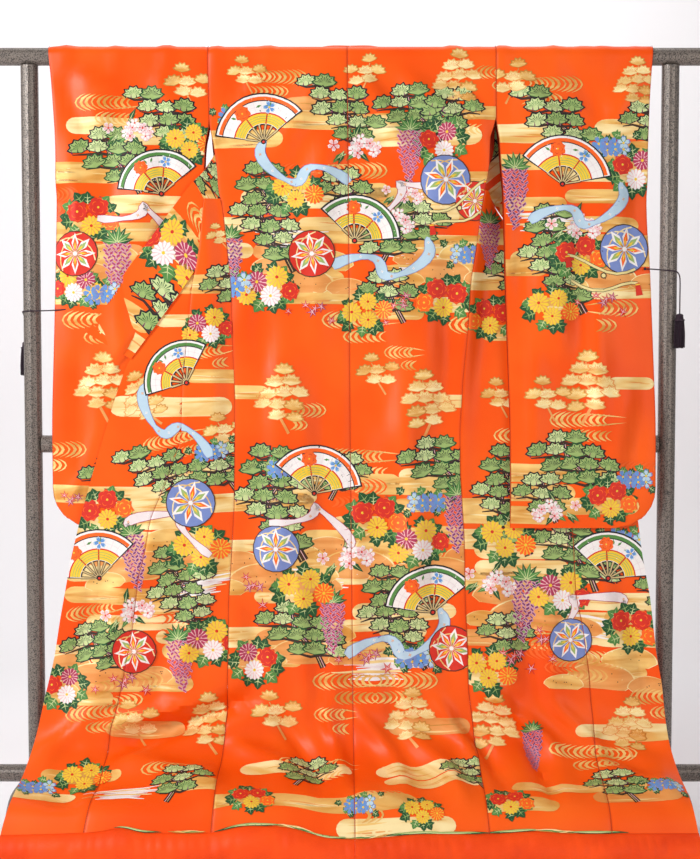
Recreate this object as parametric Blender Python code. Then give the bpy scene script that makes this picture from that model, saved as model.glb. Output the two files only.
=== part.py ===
"""A long, padded-hem wedding kimono hung open on a tubular garment rack.

Units are metres, +Z is up, and the garment's back faces -Y. Everything is first laid out with the
rack's rails in the plane Y = 0, then an empty carries it to its place over the origin.

The cloth hangs from the top rail, which runs through both sleeves. The fronts are swung out to the
sides: the left one lies over its sleeve, the right one behind its sleeve. Low down all the cloth comes
forward over the rack's feet, and ends in a padded roll just above the floor.
"""

import math
from collections import namedtuple

import bmesh
import bpy
from mathutils import Vector

# Rack
TUBE_R = 0.019
FOOT_R = 0.019
RAIL_Z = 1.687
MID_RAIL_Z = 0.850
LOW_RAIL_Z = 0.120
RAIL_HALF = 0.795
UPRIGHT_X = 0.692
FOOT_REACH = 0.245
FOOT_BEND_R = 0.080
CAP_WALL = 0.0025
CAP_LENGTH = 0.024
TIP_R = 0.0220
TIP_HEIGHT = 0.026
TUBE_SIDES = 20

# Cloth
GAP = 0.0003
CLOTH_T = 0.002
COLLAR_T = 0.0035
SEAT_GAP = 0.0004
WRAP_R = TUBE_R + SEAT_GAP + CLOTH_T
HEM_TOP_Z = 0.078
HEM_STRETCH = 0.22
COLUMN_COUNT = 9
FRONT_COLUMN_COUNT = 7
SHOULDER_COLUMN_COUNT = 5
ROW_STEP = 0.055
OVER_RAIL_STEP = 0.0056
LOW_STEP = 0.030
FLOOR_CLEAR = 0.002
ROLL_Y = -0.2965
ROLL_HALF_DEPTH = 0.026
CUFF_OPEN = 0.26
SHARP_ANGLE = math.radians(40)
SLEEVE_BOTTOM_Z = 0.670
SLEEVE_CORNER_R = 0.085

# Cords and tassels
CORD_R = 0.0014
TASSEL_HEAD_R = 0.0085
TASSEL_HEAD_HEIGHT = 0.016
TASSEL_LENGTH = 0.080
TASSEL_RINGS = ((0.0, 1), (0.0034, 6), (0.0068, 12), (0.0098, 17))
STRAND_R = 0.0013

FRONT_REACH = -ROLL_Y + ROLL_HALF_DEPTH
BACK_REACH = FOOT_REACH + TIP_R
RACK_Y = (FRONT_REACH - BACK_REACH) / 2

Edge = namedtuple("Edge", "z x")
Fall = namedtuple("Fall", "y z")
Depth = namedtuple("Depth", "z y")
Hem = namedtuple("Hem", "x z")
Fold = namedtuple("Fold", "x0 z0 x1 z1 width height")
Station = namedtuple("Station", "seam middle edge")

# The line that the body cloth falls along below the rail, seen from the side.
FALL = (
    Fall(-WRAP_R, RAIL_Z),
    Fall(-0.0265, 1.450),
    Fall(-0.0300, 1.100),
    Fall(-0.0310, 0.850),
    Fall(-0.0360, 0.550),
    Fall(-0.0385, 0.360),
    Fall(-0.0430, 0.270),
    Fall(-0.0600, 0.214),
    Fall(-0.1020, 0.178),
    Fall(-0.1580, 0.156),
    Fall(-0.2160, 0.142),
    Fall(-0.2620, 0.120),
    Fall(-0.2880, 0.078),
    Fall(-0.2960, 0.050),
)

CENTRE_SEAM = (Edge(1.72, -0.0064), Edge(0.945, 0.0), Edge(0.30, 0.006), Edge(0.05, 0.0105))

SIDE_LEFT = (
    Edge(1.720, -0.3056), Edge(1.535, -0.3022), Edge(1.499, -0.2938), Edge(1.443, -0.2855),
    Edge(1.394, -0.2836), Edge(1.371, -0.2751), Edge(1.275, -0.2648), Edge(1.187, -0.2565),
    Edge(1.055, -0.2528), Edge(0.945, -0.2489), Edge(0.704, -0.2521), Edge(0.511, -0.2639),
    Edge(0.363, -0.2667), Edge(0.240, -0.2696), Edge(0.150, -0.2770), Edge(0.050, -0.2830),
)
SIDE_RIGHT = (
    Edge(1.720, 0.3130), Edge(1.543, 0.3138), Edge(1.519, 0.3010), Edge(1.445, 0.2993),
    Edge(1.415, 0.2930), Edge(1.352, 0.2816), Edge(1.296, 0.2754), Edge(1.206, 0.2608),
    Edge(1.099, 0.2548), Edge(0.990, 0.2444), Edge(0.882, 0.2384), Edge(0.795, 0.2387),
    Edge(0.643, 0.2481), Edge(0.511, 0.2508), Edge(0.412, 0.2556), Edge(0.315, 0.2582),
    Edge(0.264, 0.2650), Edge(0.180, 0.2750), Edge(0.130, 0.2790), Edge(0.050, 0.2840),
)

# The left front panel's outer side: the edge of its long tuck, then the seam with the okumi.
TUCK_LEFT = (
    Edge(1.440, -0.3060), Edge(1.371, -0.3139), Edge(1.263, -0.3252), Edge(1.186, -0.3406),
    Edge(1.109, -0.3475), Edge(0.976, -0.3612), Edge(0.862, -0.3641), Edge(0.808, -0.3838),
    Edge(0.765, -0.3992), Edge(0.693, -0.4321), Edge(0.602, -0.4479), Edge(0.562, -0.4590),
    Edge(0.425, -0.4775), Edge(0.337, -0.4949), Edge(0.225, -0.5200), Edge(0.150, -0.5290),
    Edge(0.050, -0.5430),
)
# The left okumi's outer side: the seam with the collar, then the garment's front edge.
FRONT_EDGE_LEFT = (
    Edge(1.228, -0.3360), Edge(1.128, -0.4053), Edge(1.042, -0.4703), Edge(1.034, -0.4768),
    Edge(0.995, -0.4922), Edge(0.937, -0.5120), Edge(0.849, -0.5387), Edge(0.775, -0.5609),
    Edge(0.695, -0.5833), Edge(0.604, -0.6058), Edge(0.471, -0.6311), Edge(0.383, -0.6450),
    Edge(0.290, -0.6680), Edge(0.205, -0.6850), Edge(0.155, -0.6920), Edge(0.130, -0.6960),
    Edge(0.078, -0.7070), Edge(0.050, -0.7090),
)
# The same two lines on the right, where the upper part is hidden behind the sleeve.
OKUMI_SEAM_RIGHT = (
    Edge(1.400, 0.2960), Edge(1.375, 0.3110), Edge(1.355, 0.3230), Edge(1.335, 0.3360),
    Edge(1.290, 0.3720), Edge(1.215, 0.4180), Edge(1.000, 0.4380), Edge(0.800, 0.4660),
    Edge(0.648, 0.4859), Edge(0.523, 0.4913), Edge(0.451, 0.5071), Edge(0.350, 0.5212),
    Edge(0.235, 0.5293), Edge(0.150, 0.5285), Edge(0.050, 0.5300),
)
FRONT_EDGE_RIGHT = (
    Edge(1.200, 0.4305), Edge(1.060, 0.5240), Edge(1.040, 0.5290), Edge(0.900, 0.5650),
    Edge(0.780, 0.6020), Edge(0.688, 0.6270), Edge(0.608, 0.6366), Edge(0.523, 0.6527),
    Edge(0.400, 0.6672), Edge(0.325, 0.6812), Edge(0.235, 0.6892), Edge(0.175, 0.6955),
    Edge(0.148, 0.6970), Edge(0.078, 0.7050), Edge(0.050, 0.7070),
)

SLEEVE_INNER_LEFT = (
    Edge(1.720, -0.3056), Edge(1.535, -0.3022), Edge(1.499, -0.3110), Edge(1.447, -0.3135),
    Edge(1.322, -0.3190), Edge(1.125, -0.3250), Edge(0.905, -0.3310), Edge(0.670, -0.3350),
)
SLEEVE_INNER_RIGHT = (
    Edge(1.720, 0.3130), Edge(1.543, 0.3138), Edge(1.513, 0.3204), Edge(1.445, 0.3251),
    Edge(1.395, 0.3297), Edge(1.322, 0.3323), Edge(1.205, 0.3351), Edge(1.125, 0.3377),
    Edge(0.975, 0.3429), Edge(0.905, 0.3455), Edge(0.755, 0.3475), Edge(0.670, 0.3469),
)
SLEEVE_OUTER_LEFT = (
    Edge(1.720, -0.6495), Edge(1.615, -0.6397), Edge(1.496, -0.6325), Edge(1.335, -0.6342),
    Edge(1.163, -0.6382), Edge(0.905, -0.6454), Edge(0.670, -0.6450),
)
SLEEVE_OUTER_RIGHT = (
    Edge(1.720, 0.6516), Edge(1.615, 0.6440), Edge(1.472, 0.6392), Edge(1.335, 0.6407),
    Edge(1.234, 0.6483), Edge(0.905, 0.6606), Edge(0.670, 0.6620),
)

# Outer faces of each sleeve's two walls: the one towards the camera side (-Y), and the far one.
SLEEVE_NEAR_LEFT = (
    Depth(1.65, -WRAP_R), Depth(1.45, -0.0265), Depth(1.20, -0.0295), Depth(0.87, -0.0340),
    Depth(0.67, -0.0340),
)
SLEEVE_FAR_LEFT = (
    Depth(1.65, WRAP_R), Depth(1.45, 0.0120), Depth(1.20, -0.0020), Depth(0.95, -0.0195),
    Depth(0.87, -0.0225), Depth(0.67, -0.0225),
)
SLEEVE_NEAR_RIGHT = (
    Depth(1.65, -WRAP_R), Depth(1.45, -0.0265), Depth(1.20, -0.0310), Depth(0.87, -0.0430),
    Depth(0.67, -0.0460),
)
SLEEVE_FAR_RIGHT = (
    Depth(1.65, WRAP_R), Depth(1.45, 0.0100), Depth(1.20, -0.0060), Depth(0.95, -0.0245),
    Depth(0.87, -0.0300), Depth(0.67, -0.0320),
)

# Outer faces of the fronts where they cross the sleeves, before they join the body's fall line again.
FRONT_DEPTH_LEFT = (
    Depth(1.44, -0.0290), Depth(1.37, -0.0345), Depth(1.20, -0.0365), Depth(0.87, -0.0405),
    Depth(0.66, -0.0405), Depth(0.50, -0.0385), Depth(0.36, -0.0385),
)
FRONT_DEPTH_RIGHT = (
    Depth(1.42, 0.0230), Depth(1.33, 0.0150), Depth(1.20, 0.0020), Depth(1.00, -0.0160),
    Depth(0.88, -0.0255), Depth(0.68, -0.0265), Depth(0.60, -0.0300), Depth(0.50, -0.0370),
    Depth(0.36, -0.0385),
)
# How far out from the side seam a front has reached its own depth.
FRONT_TURN_LEFT = 0.050
FRONT_TURN_RIGHT = 0.036
TUCK_LIFT = 0.0064
TUCK_UNDER = 0.014
TUCK_END_Z = 0.80
TUCK_FLAT_Z = 0.70

SHOULDER_DEPTH = (
    Depth(RAIL_Z, WRAP_R), Depth(1.60, 0.0195), Depth(1.54, 0.0150), Depth(1.48, 0.0050),
    Depth(1.40, -0.0160),
)
SHOULDER_INNER_LEFT = (Edge(1.720, -0.0960), Edge(1.660, -0.1100), Edge(1.390, -0.2640))
SHOULDER_OUTER_LEFT = (
    Edge(1.720, -0.3056), Edge(1.535, -0.3022), Edge(1.470, -0.2960), Edge(1.390, -0.2740),
)
SHOULDER_INNER_RIGHT = (Edge(1.720, 0.0960), Edge(1.660, 0.1100), Edge(1.425, 0.2780))
SHOULDER_OUTER_RIGHT = (
    Edge(1.720, 0.3130), Edge(1.543, 0.3138), Edge(1.480, 0.3120), Edge(1.425, 0.2900),
)

# Heights where the fronts, the okumi and the shoulder tips begin or end.
FRONT_TOP_LEFT = 1.380
FRONT_TOP_RIGHT = 1.398
OKUMI_TOP_LEFT = 1.222
OKUMI_TOP_RIGHT = 1.190
SHOULDER_TIP_LEFT = 1.392
SHOULDER_TIP_RIGHT = 1.427

# The height of the seam between the panels and the padded roll, from side to side.
HEM = (
    Hem(-0.720, 0.076), Hem(-0.590, 0.079), Hem(-0.510, 0.082), Hem(-0.460, 0.092), Hem(-0.425, 0.080),
    Hem(-0.280, 0.080), Hem(-0.215, 0.094), Hem(-0.120, 0.091), Hem(-0.050, 0.071), Hem(0.020, 0.069),
    Hem(0.140, 0.079), Hem(0.280, 0.078), Hem(0.370, 0.084), Hem(0.450, 0.079), Hem(0.720, 0.080),
)

# Main folds of the body cloth: ridges above nought, troughs below, between two points of its face.
BODY_FOLDS = (
    Fold(-0.09, 1.66, -0.17, 1.52, 0.030, 0.0040),
    Fold(0.08, 1.64, 0.29, 1.50, 0.026, 0.0050),
    Fold(0.05, 1.60, 0.25, 1.45, 0.024, -0.0040),
    Fold(0.10, 1.40, 0.14, 0.62, 0.045, 0.0050),
    Fold(-0.13, 1.30, -0.11, 0.55, 0.045, 0.0050),
    Fold(0.02, 1.20, 0.03, 0.40, 0.030, -0.0045),
    Fold(-0.20, 0.31, -0.45, 0.215, 0.026, -0.0100),
    Fold(-0.22, 0.25, -0.52, 0.165, 0.024, 0.0110),
    Fold(-0.46, 0.40, -0.60, 0.235, 0.028, 0.0080),
    Fold(0.07, 0.30, 0.22, 0.170, 0.026, 0.0100),
    Fold(0.04, 0.19, 0.20, 0.140, 0.020, -0.0080),
    Fold(0.27, 0.34, 0.44, 0.190, 0.026, 0.0120),
    Fold(0.30, 0.26, 0.50, 0.150, 0.022, -0.0090),
    Fold(0.50, 0.26, 0.66, 0.225, 0.022, 0.0080),
    Fold(-0.10, 0.26, 0.02, 0.165, 0.026, -0.0080),
    Fold(-0.33, 0.155, -0.20, 0.130, 0.022, 0.0070),
)
SLEEVE_FOLDS = (
    Fold(-0.62, 1.64, -0.50, 1.55, 0.030, 0.0040),
    Fold(-0.44, 1.60, -0.46, 0.85, 0.035, 0.0040),
    Fold(-0.56, 1.40, -0.54, 0.80, 0.030, 0.0035),
    Fold(0.43, 1.60, 0.42, 0.80, 0.035, 0.0040),
    Fold(0.57, 1.62, 0.55, 0.82, 0.035, 0.0045),
    Fold(0.50, 1.35, 0.49, 0.75, 0.025, -0.0030),
)

# The collar from the centre back to each front end, by its sewn edge, middle and free edge. Below
# its hung height each half lies on the front that it is sewn to.
COLLAR_HUNG_LEFT = 1.420
COLLAR_HUNG_RIGHT = 1.410
NECK_SEAM_Z = RAIL_Z + TUBE_R + SEAT_GAP + COLLAR_T / 2
COLLAR_LEFT = (
    Station((-0.0002, 0.0022, NECK_SEAM_Z), (-0.0002, 0.0285, 1.7000), (-0.0002, 0.0325, 1.628)),
    Station((-0.0500, 0.0028, NECK_SEAM_Z), (-0.0540, 0.0285, 1.6980), (-0.0600, 0.0325, 1.630)),
    Station((-0.0860, 0.0180, 1.7030), (-0.0900, 0.0280, 1.6720), (-0.0960, 0.0260, 1.636)),
    Station((-0.1000, 0.0250, 1.6600), (-0.1160, 0.0160, 1.6300), (-0.1400, 0.0090, 1.626)),
    Station((-0.1500, 0.0060, 1.5700), (-0.1860, 0.0050, 1.5820), (-0.2200, 0.0020, 1.592)),
    Station((-0.2080, -0.0060, 1.4700), (-0.2400, -0.0080, 1.4950), (-0.2680, -0.0080, 1.516)),
    Station((-0.2560, -0.0190, 1.3820), (-0.2840, -0.0225, 1.4160), (-0.3100, -0.0320, 1.444)),
    Station((-0.2960, -0.0330, 1.2980), (-0.3260, -0.0360, 1.3520), (-0.3500, -0.0360, 1.400)),
    Station((-0.3380, -0.0385, 1.2190), (-0.3860, -0.0385, 1.2700), (-0.4300, -0.0385, 1.293)),
    Station((-0.4020, -0.0385, 1.1290), (-0.4520, -0.0385, 1.1700), (-0.5020, -0.0385, 1.195)),
    Station((-0.4720, -0.0385, 1.0360), (-0.5200, -0.0385, 1.0640), (-0.5665, -0.0385, 1.092)),
)
COLLAR_RIGHT = (
    Station((0.0002, 0.0022, NECK_SEAM_Z), (0.0002, 0.0285, 1.7000), (0.0002, 0.0325, 1.628)),
    Station((0.0500, 0.0028, NECK_SEAM_Z), (0.0560, 0.0285, 1.6990), (0.0640, 0.0330, 1.632)),
    Station((0.0860, 0.0180, 1.7030), (0.1040, 0.0310, 1.6800), (0.1300, 0.0330, 1.650)),
    Station((0.1060, 0.0280, 1.6600), (0.1500, 0.0300, 1.6600), (0.1980, 0.0310, 1.660)),
    Station((0.1560, 0.0270, 1.5900), (0.2040, 0.0280, 1.6130), (0.2520, 0.0290, 1.636)),
    Station((0.2200, 0.0240, 1.5000), (0.2700, 0.0250, 1.5320), (0.3200, 0.0260, 1.566)),
    Station((0.2900, 0.0180, 1.4050), (0.3400, 0.0210, 1.4450), (0.3900, 0.0230, 1.478)),
    Station((0.3680, 0.0095, 1.2900), (0.4220, 0.0120, 1.3260), (0.4700, 0.0140, 1.360)),
    Station((0.4500, -0.0030, 1.1650), (0.5040, 0.0000, 1.1960), (0.5520, 0.0030, 1.228)),
    Station((0.5180, -0.0130, 1.0620), (0.5720, -0.0100, 1.0960), (0.6180, -0.0070, 1.126)),
)

# Tie cords: route points from the sleeve to the top of the tassel.
CORD_RIGHT = (
    (0.6400, -0.0232, 1.2300), (0.6480, -0.0217, 1.2299), (0.6600, -0.0211, 1.2292),
    (0.6760, -0.0208, 1.2280), (0.6920, -0.0207, 1.2268), (0.7000, -0.0208, 1.2258),
    (0.7070, -0.0224, 1.2230), (0.7112, -0.0246, 1.2150), (0.7124, -0.0255, 1.2000),
    (0.7124, -0.0256, 1.1700), (0.7124, -0.0256, 1.1340),
)
CORD_LEFT = (
    (-0.5850, -0.0332, 1.1440), (-0.5950, -0.0320, 1.1438), (-0.6020, -0.0307, 1.1434),
    (-0.6110, -0.0285, 1.1430), (-0.6200, -0.0262, 1.1424),
    (-0.6360, -0.0233, 1.1414), (-0.6480, -0.0217, 1.1406), (-0.6640, -0.0210, 1.1401),
    (-0.6800, -0.0207, 1.1398), (-0.6920, -0.0207, 1.1396), (-0.7024, -0.0180, 1.1393),
    (-0.7100, -0.0105, 1.1388), (-0.7129, 0.0000, 1.1378), (-0.7136, 0.0100, 1.1340),
    (-0.7132, 0.0190, 1.1260), (-0.7126, 0.0245, 1.1120), (-0.7124, 0.0256, 1.0950),
    (-0.7124, 0.0256, 1.0740),
)
# Middles of the small knots that end the cords where they are sewn to the sleeves.
KNOT_RIGHT = (0.6362, -0.0260, 1.2301)
KNOT_LEFT = (-0.5812, -0.0353, 1.1441)
KNOT_R = 0.0033


def clear_scene():
    for obj in list(bpy.data.objects):
        bpy.data.objects.remove(obj, do_unlink=True)


def material(name, colour, roughness, metallic=0.0):
    made = bpy.data.materials.new(name)
    made.use_nodes = True
    shader = made.node_tree.nodes["Principled BSDF"]
    shader.inputs["Base Color"].default_value = (*colour, 1.0)
    shader.inputs["Roughness"].default_value = roughness
    shader.inputs["Metallic"].default_value = metallic
    return made


def add_object(name, data, finish, parent):
    obj = bpy.data.objects.new(name, data)
    obj.data.materials.append(finish)
    obj.parent = parent
    bpy.context.scene.collection.objects.link(obj)
    return obj


def clamp(value, low=0.0, high=1.0):
    return max(low, min(high, value))


def ease(value):
    value = clamp(value)
    return value * value * (3 - 2 * value)


def along(rows, at):
    """The second column of rows at a value of the first, by straight lines between the rows."""
    rows = sorted(rows, key=lambda row: row[0])
    if at <= rows[0][0]:
        return rows[0][1]
    for low, high in zip(rows, rows[1:]):
        if at <= high[0]:
            share = (at - low[0]) / (high[0] - low[0])
            return low[1] + (high[1] - low[1]) * share
    return rows[-1][1]


def smooth_along(rows, at, reach=0.012):
    """As along, with the corners rounded off over a short reach."""
    steps = (-1.0, -0.5, 0.0, 0.5, 1.0)
    return sum(along(rows, at + step * reach) for step in steps) / len(steps)


def curve_through(points, share):
    """A point on the smooth curve through points, share from 0 to 1 along its list."""
    last = len(points) - 1
    place = clamp(share) * last
    i = min(int(place), last - 1)
    t = place - i
    p = [Vector(points[clamp_index(i + k, last)]) for k in (-1, 0, 1, 2)]
    return 0.5 * (
        2 * p[1]
        + (p[2] - p[0]) * t
        + (2 * p[0] - 5 * p[1] + 4 * p[2] - p[3]) * t**2
        + (3 * p[1] - p[0] - 3 * p[2] + p[3]) * t**3
    )


def clamp_index(i, last):
    return max(0, min(last, i))


def fold_height(folds, x, z):
    """The height of all folds at one point of the cloth: each is a soft bar that fades at its ends."""
    total = 0.0
    for fold in folds:
        run = Vector((fold.x1 - fold.x0, fold.z1 - fold.z0))
        away = Vector((x - fold.x0, z - fold.z0))
        share = away.dot(run) / run.length_squared
        side = (away - clamp(share) * run).length / fold.width
        fade = ease((share + 0.25) / 0.5) * ease((1.25 - share) / 0.5)
        total += fold.height * math.exp(-side * side) * fade
    return total


def fall_line(steps=24):
    """(drop, y, z) along the body cloth's side view: over the rail, then down and forward to the hem."""
    points = [
        (-WRAP_R * math.sin(i / 8 * math.pi / 2), RAIL_Z + WRAP_R * math.cos(i / 8 * math.pi / 2))
        for i in range(8)
    ]
    profile = [(fall.y, fall.z, 0.0) for fall in FALL]
    count = steps * (len(FALL) - 1)
    for i in range(count + 1):
        point = curve_through(profile, i / count)
        points.append((point.x, point.y))
    rows, drop = [], 0.0
    for i, (y, z) in enumerate(points):
        if i:
            drop += math.hypot(y - points[i - 1][0], z - points[i - 1][1])
        rows.append((drop, y, z))
    return rows


FALL_ROWS = fall_line()
DROP_TO_Z = tuple((row[0], row[2]) for row in FALL_ROWS)
DROP_TO_Y = tuple((row[0], row[1]) for row in FALL_ROWS)
Z_TO_DROP = tuple((row[2], row[0]) for row in FALL_ROWS)


def look_up(rows, at):
    """As along, for long sorted rows."""
    low, high = 0, len(rows) - 1
    up = rows[high][0] > rows[low][0]
    while high - low > 1:
        middle = (low + high) // 2
        if (rows[middle][0] <= at) == up:
            low = middle
        else:
            high = middle
    span = rows[high][0] - rows[low][0]
    share = (at - rows[low][0]) / span if span else 0.0
    return rows[low][1] + (rows[high][1] - rows[low][1]) * clamp(share)


def body_point(x, drop, inward=0.0, folds=BODY_FOLDS):
    """A point of the body cloth's outer face, moved inward along the side view's normal."""
    step = 0.002
    y, z = look_up(DROP_TO_Y, drop), look_up(DROP_TO_Z, drop)
    y2, z2 = look_up(DROP_TO_Y, drop + step), look_up(DROP_TO_Z, drop + step)
    y1, z1 = look_up(DROP_TO_Y, drop - step), look_up(DROP_TO_Z, drop - step)
    run = Vector((y2 - y1, z2 - z1)).normalized()
    normal = Vector((run.y, -run.x))
    lift = fold_height(folds, x, z) * ease((RAIL_Z - 0.02 - z) / 0.12) - inward
    return Vector((x, y + normal.x * lift, z + normal.y * lift))


def hem_z(x):
    return smooth_along(HEM, x, 0.02)


def wall(name, face, rows, columns, finish, parent, sides=(0.0, CLOTH_T)):
    """A closed cloth wall. face(u, v) is a point of the surface it is made from, for u from 0 to 1 and
    v in rows, and its two faces lie as far behind that surface as sides says. Seen from the outer side
    u runs to the right and v down."""
    step = 1e-3
    outer, inner = [], []
    for v in rows:
        for u in columns:
            u0, u1 = max(u - step, 0.0), min(u + step, 1.0)
            v0, v1 = max(v - step, rows[0]), min(v + step, rows[-1])
            across = face(u1, v) - face(u0, v)
            down = face(u, v1) - face(u, v0)
            point = face(u, v)
            normal = down.cross(across).normalized()
            outer.append(point - normal * sides[0])
            inner.append(point - normal * sides[1])
    mesh = bpy.data.meshes.new(name)
    bm = bmesh.new()
    width = len(columns)
    front = [bm.verts.new(point) for point in outer]
    back = [bm.verts.new(point) for point in inner]
    for i in range(len(rows) - 1):
        for j in range(width - 1):
            a, b = i * width + j, (i + 1) * width + j
            bm.faces.new((front[a], front[b], front[b + 1], front[a + 1]))
            bm.faces.new((back[a], back[a + 1], back[b + 1], back[b]))
    last = (len(rows) - 1) * width
    rim = [j for j in range(width)]
    rim += [i * width + width - 1 for i in range(1, len(rows))]
    rim += [last + j for j in range(width - 2, -1, -1)]
    rim += [i * width for i in range(len(rows) - 2, 0, -1)]
    for a, b in zip(rim, rim[1:] + rim[:1]):
        bm.faces.new((front[a], front[b], back[b], back[a]))
    bmesh.ops.recalc_face_normals(bm, faces=bm.faces)
    bm.to_mesh(mesh)
    bm.free()
    mesh.shade_smooth()
    mesh.set_sharp_from_angle(angle=SHARP_ANGLE)
    return add_object(name, mesh, finish, parent)


def even(count):
    return [i / (count - 1) for i in range(count)]


def panel_face(left, right, offset):
    """The face of a hanging panel between two edge lines, by its drop along the body's fall line. The
    last stretch of the drop is let out or taken in, so that the panel ends on the wavy hem."""
    bottom = look_up(Z_TO_DROP, HEM_TOP_Z)

    def face(u, v):
        x, drop = 0.0, v
        for _ in range(2):
            z = look_up(DROP_TO_Z, drop)
            x = left(z) + (right(z) - left(z)) * u
            change = look_up(Z_TO_DROP, hem_z(x) + GAP) - bottom
            drop = v + change * clamp(1 - (bottom - v) / HEM_STRETCH)
        return body_point(x, drop, offset(x, z))

    return face


def edge_line(rows, shift=0.0):
    return lambda z: smooth_along(rows, z) + shift


def hanging_drops():
    """Drops of the panels' rows, the same for all so that neighbours' seams match: a set distance
    apart, and closer over the rail and where the cloth comes forward."""
    bottom = look_up(Z_TO_DROP, HEM_TOP_Z)
    drops, drop = [], 0.0
    while drop < bottom - 0.015:
        drops.append(drop)
        over_rail, low_down = drop < 0.034, look_up(DROP_TO_Z, drop) < 0.32
        drop += OVER_RAIL_STEP if over_rail else LOW_STEP if low_down else ROW_STEP
    return drops + [bottom]


def panel_rows(z_top):
    top = look_up(Z_TO_DROP, z_top)
    return [top] + [drop for drop in hanging_drops() if drop > top + 0.004]


def no_offset(x, z):
    return 0.0


def front_offset(x, z, depth, turn):
    """How far a front lies inside the body's fall line, less than nothing where it lies outside."""
    body_y = look_up(DROP_TO_Y, look_up(Z_TO_DROP, z))
    return (smooth_along(depth, z, 0.03) - body_y) * ease(turn) * ease((z - 0.36) / 0.1)


def okumi_offset_left(x, z):
    return front_offset(x, z, FRONT_DEPTH_LEFT, (edge_line(SIDE_LEFT)(z) - x) / FRONT_TURN_LEFT)


def offset_right(x, z):
    return front_offset(x, z, FRONT_DEPTH_RIGHT, (x - edge_line(SIDE_RIGHT)(z)) / FRONT_TURN_RIGHT)


def tuck_offset_left(x, z):
    """The left front panel is raised along its tuck, over the collar and the okumi."""
    across = ease((edge_line(SIDE_LEFT)(z) - x) / FRONT_TURN_LEFT)
    fade = ease((z - TUCK_FLAT_Z) / (TUCK_END_Z - TUCK_FLAT_Z))
    return okumi_offset_left(x, z) - TUCK_LIFT * across * fade


def okumi_inner_left(z):
    """The left okumi's inner side: under the tuck, then along the seam."""
    under = TUCK_UNDER * ease((z - TUCK_END_Z) / 0.05)
    return edge_line(TUCK_LEFT, -GAP / 2)(z) + under


def build_backs(finish, parent):
    columns = even(COLUMN_COUNT)
    rows = panel_rows(RAIL_Z + WRAP_R)
    for name, left, right in (
        ("back_left", edge_line(SIDE_LEFT, GAP / 2), edge_line(CENTRE_SEAM, -GAP / 2)),
        ("back_right", edge_line(CENTRE_SEAM, GAP / 2), edge_line(SIDE_RIGHT, -GAP / 2)),
    ):
        wall(name, panel_face(left, right, no_offset), rows, columns, finish, parent)


def build_fronts(finish, parent):
    columns = even(FRONT_COLUMN_COUNT)
    left = panel_face(edge_line(TUCK_LEFT, GAP / 2), edge_line(SIDE_LEFT, -GAP / 2), tuck_offset_left)
    wall("front_left", left, panel_rows(FRONT_TOP_LEFT), columns, finish, parent)
    right = panel_face(
        edge_line(SIDE_RIGHT, GAP / 2), edge_line(OKUMI_SEAM_RIGHT, -GAP / 2), offset_right
    )
    wall("front_right", right, panel_rows(FRONT_TOP_RIGHT), columns, finish, parent)
    left = panel_face(edge_line(FRONT_EDGE_LEFT, GAP), okumi_inner_left, okumi_offset_left)
    wall("okumi_left", left, panel_rows(OKUMI_TOP_LEFT), columns, finish, parent)
    right = panel_face(
        edge_line(OKUMI_SEAM_RIGHT, GAP / 2), edge_line(FRONT_EDGE_RIGHT, -GAP), offset_right
    )
    wall("okumi_right", right, panel_rows(OKUMI_TOP_RIGHT), columns, finish, parent)


def shoulder_face(inner, outer, z_low, mirrored):
    """A front's upper end: from the top of the rail over its far side to a narrow lower tip."""
    arc = math.pi / 2 * WRAP_R
    low_run = RAIL_Z - z_low

    def face(u, v):
        drop = v * (arc + low_run)
        if drop < arc:
            turn = drop / WRAP_R
            y, z = WRAP_R * math.sin(turn), RAIL_Z + WRAP_R * math.cos(turn)
        else:
            z = RAIL_Z - (drop - arc)
            y = smooth_along(SHOULDER_DEPTH, z)
        share = u if mirrored else 1 - u
        x = inner(z) + (outer(z) - inner(z)) * share
        return Vector((x, y, z))

    return face


def build_shoulders(finish, parent):
    columns = even(SHOULDER_COLUMN_COUNT)
    rows = [0.001, 0.017, 0.034, 0.051, 0.068, 0.085, 0.103, 0.16, 0.25, 0.35, 0.5, 0.65, 0.8, 0.9, 1.0]
    left = shoulder_face(
        edge_line(SHOULDER_INNER_LEFT), edge_line(SHOULDER_OUTER_LEFT, GAP / 2),
        SHOULDER_TIP_LEFT, True
    )
    wall("shoulder_left", left, rows, columns, finish, parent)
    right = shoulder_face(
        edge_line(SHOULDER_INNER_RIGHT), edge_line(SHOULDER_OUTER_RIGHT, -GAP / 2),
        SHOULDER_TIP_RIGHT, False
    )
    wall("shoulder_right", right, rows, columns, finish, parent)


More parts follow.
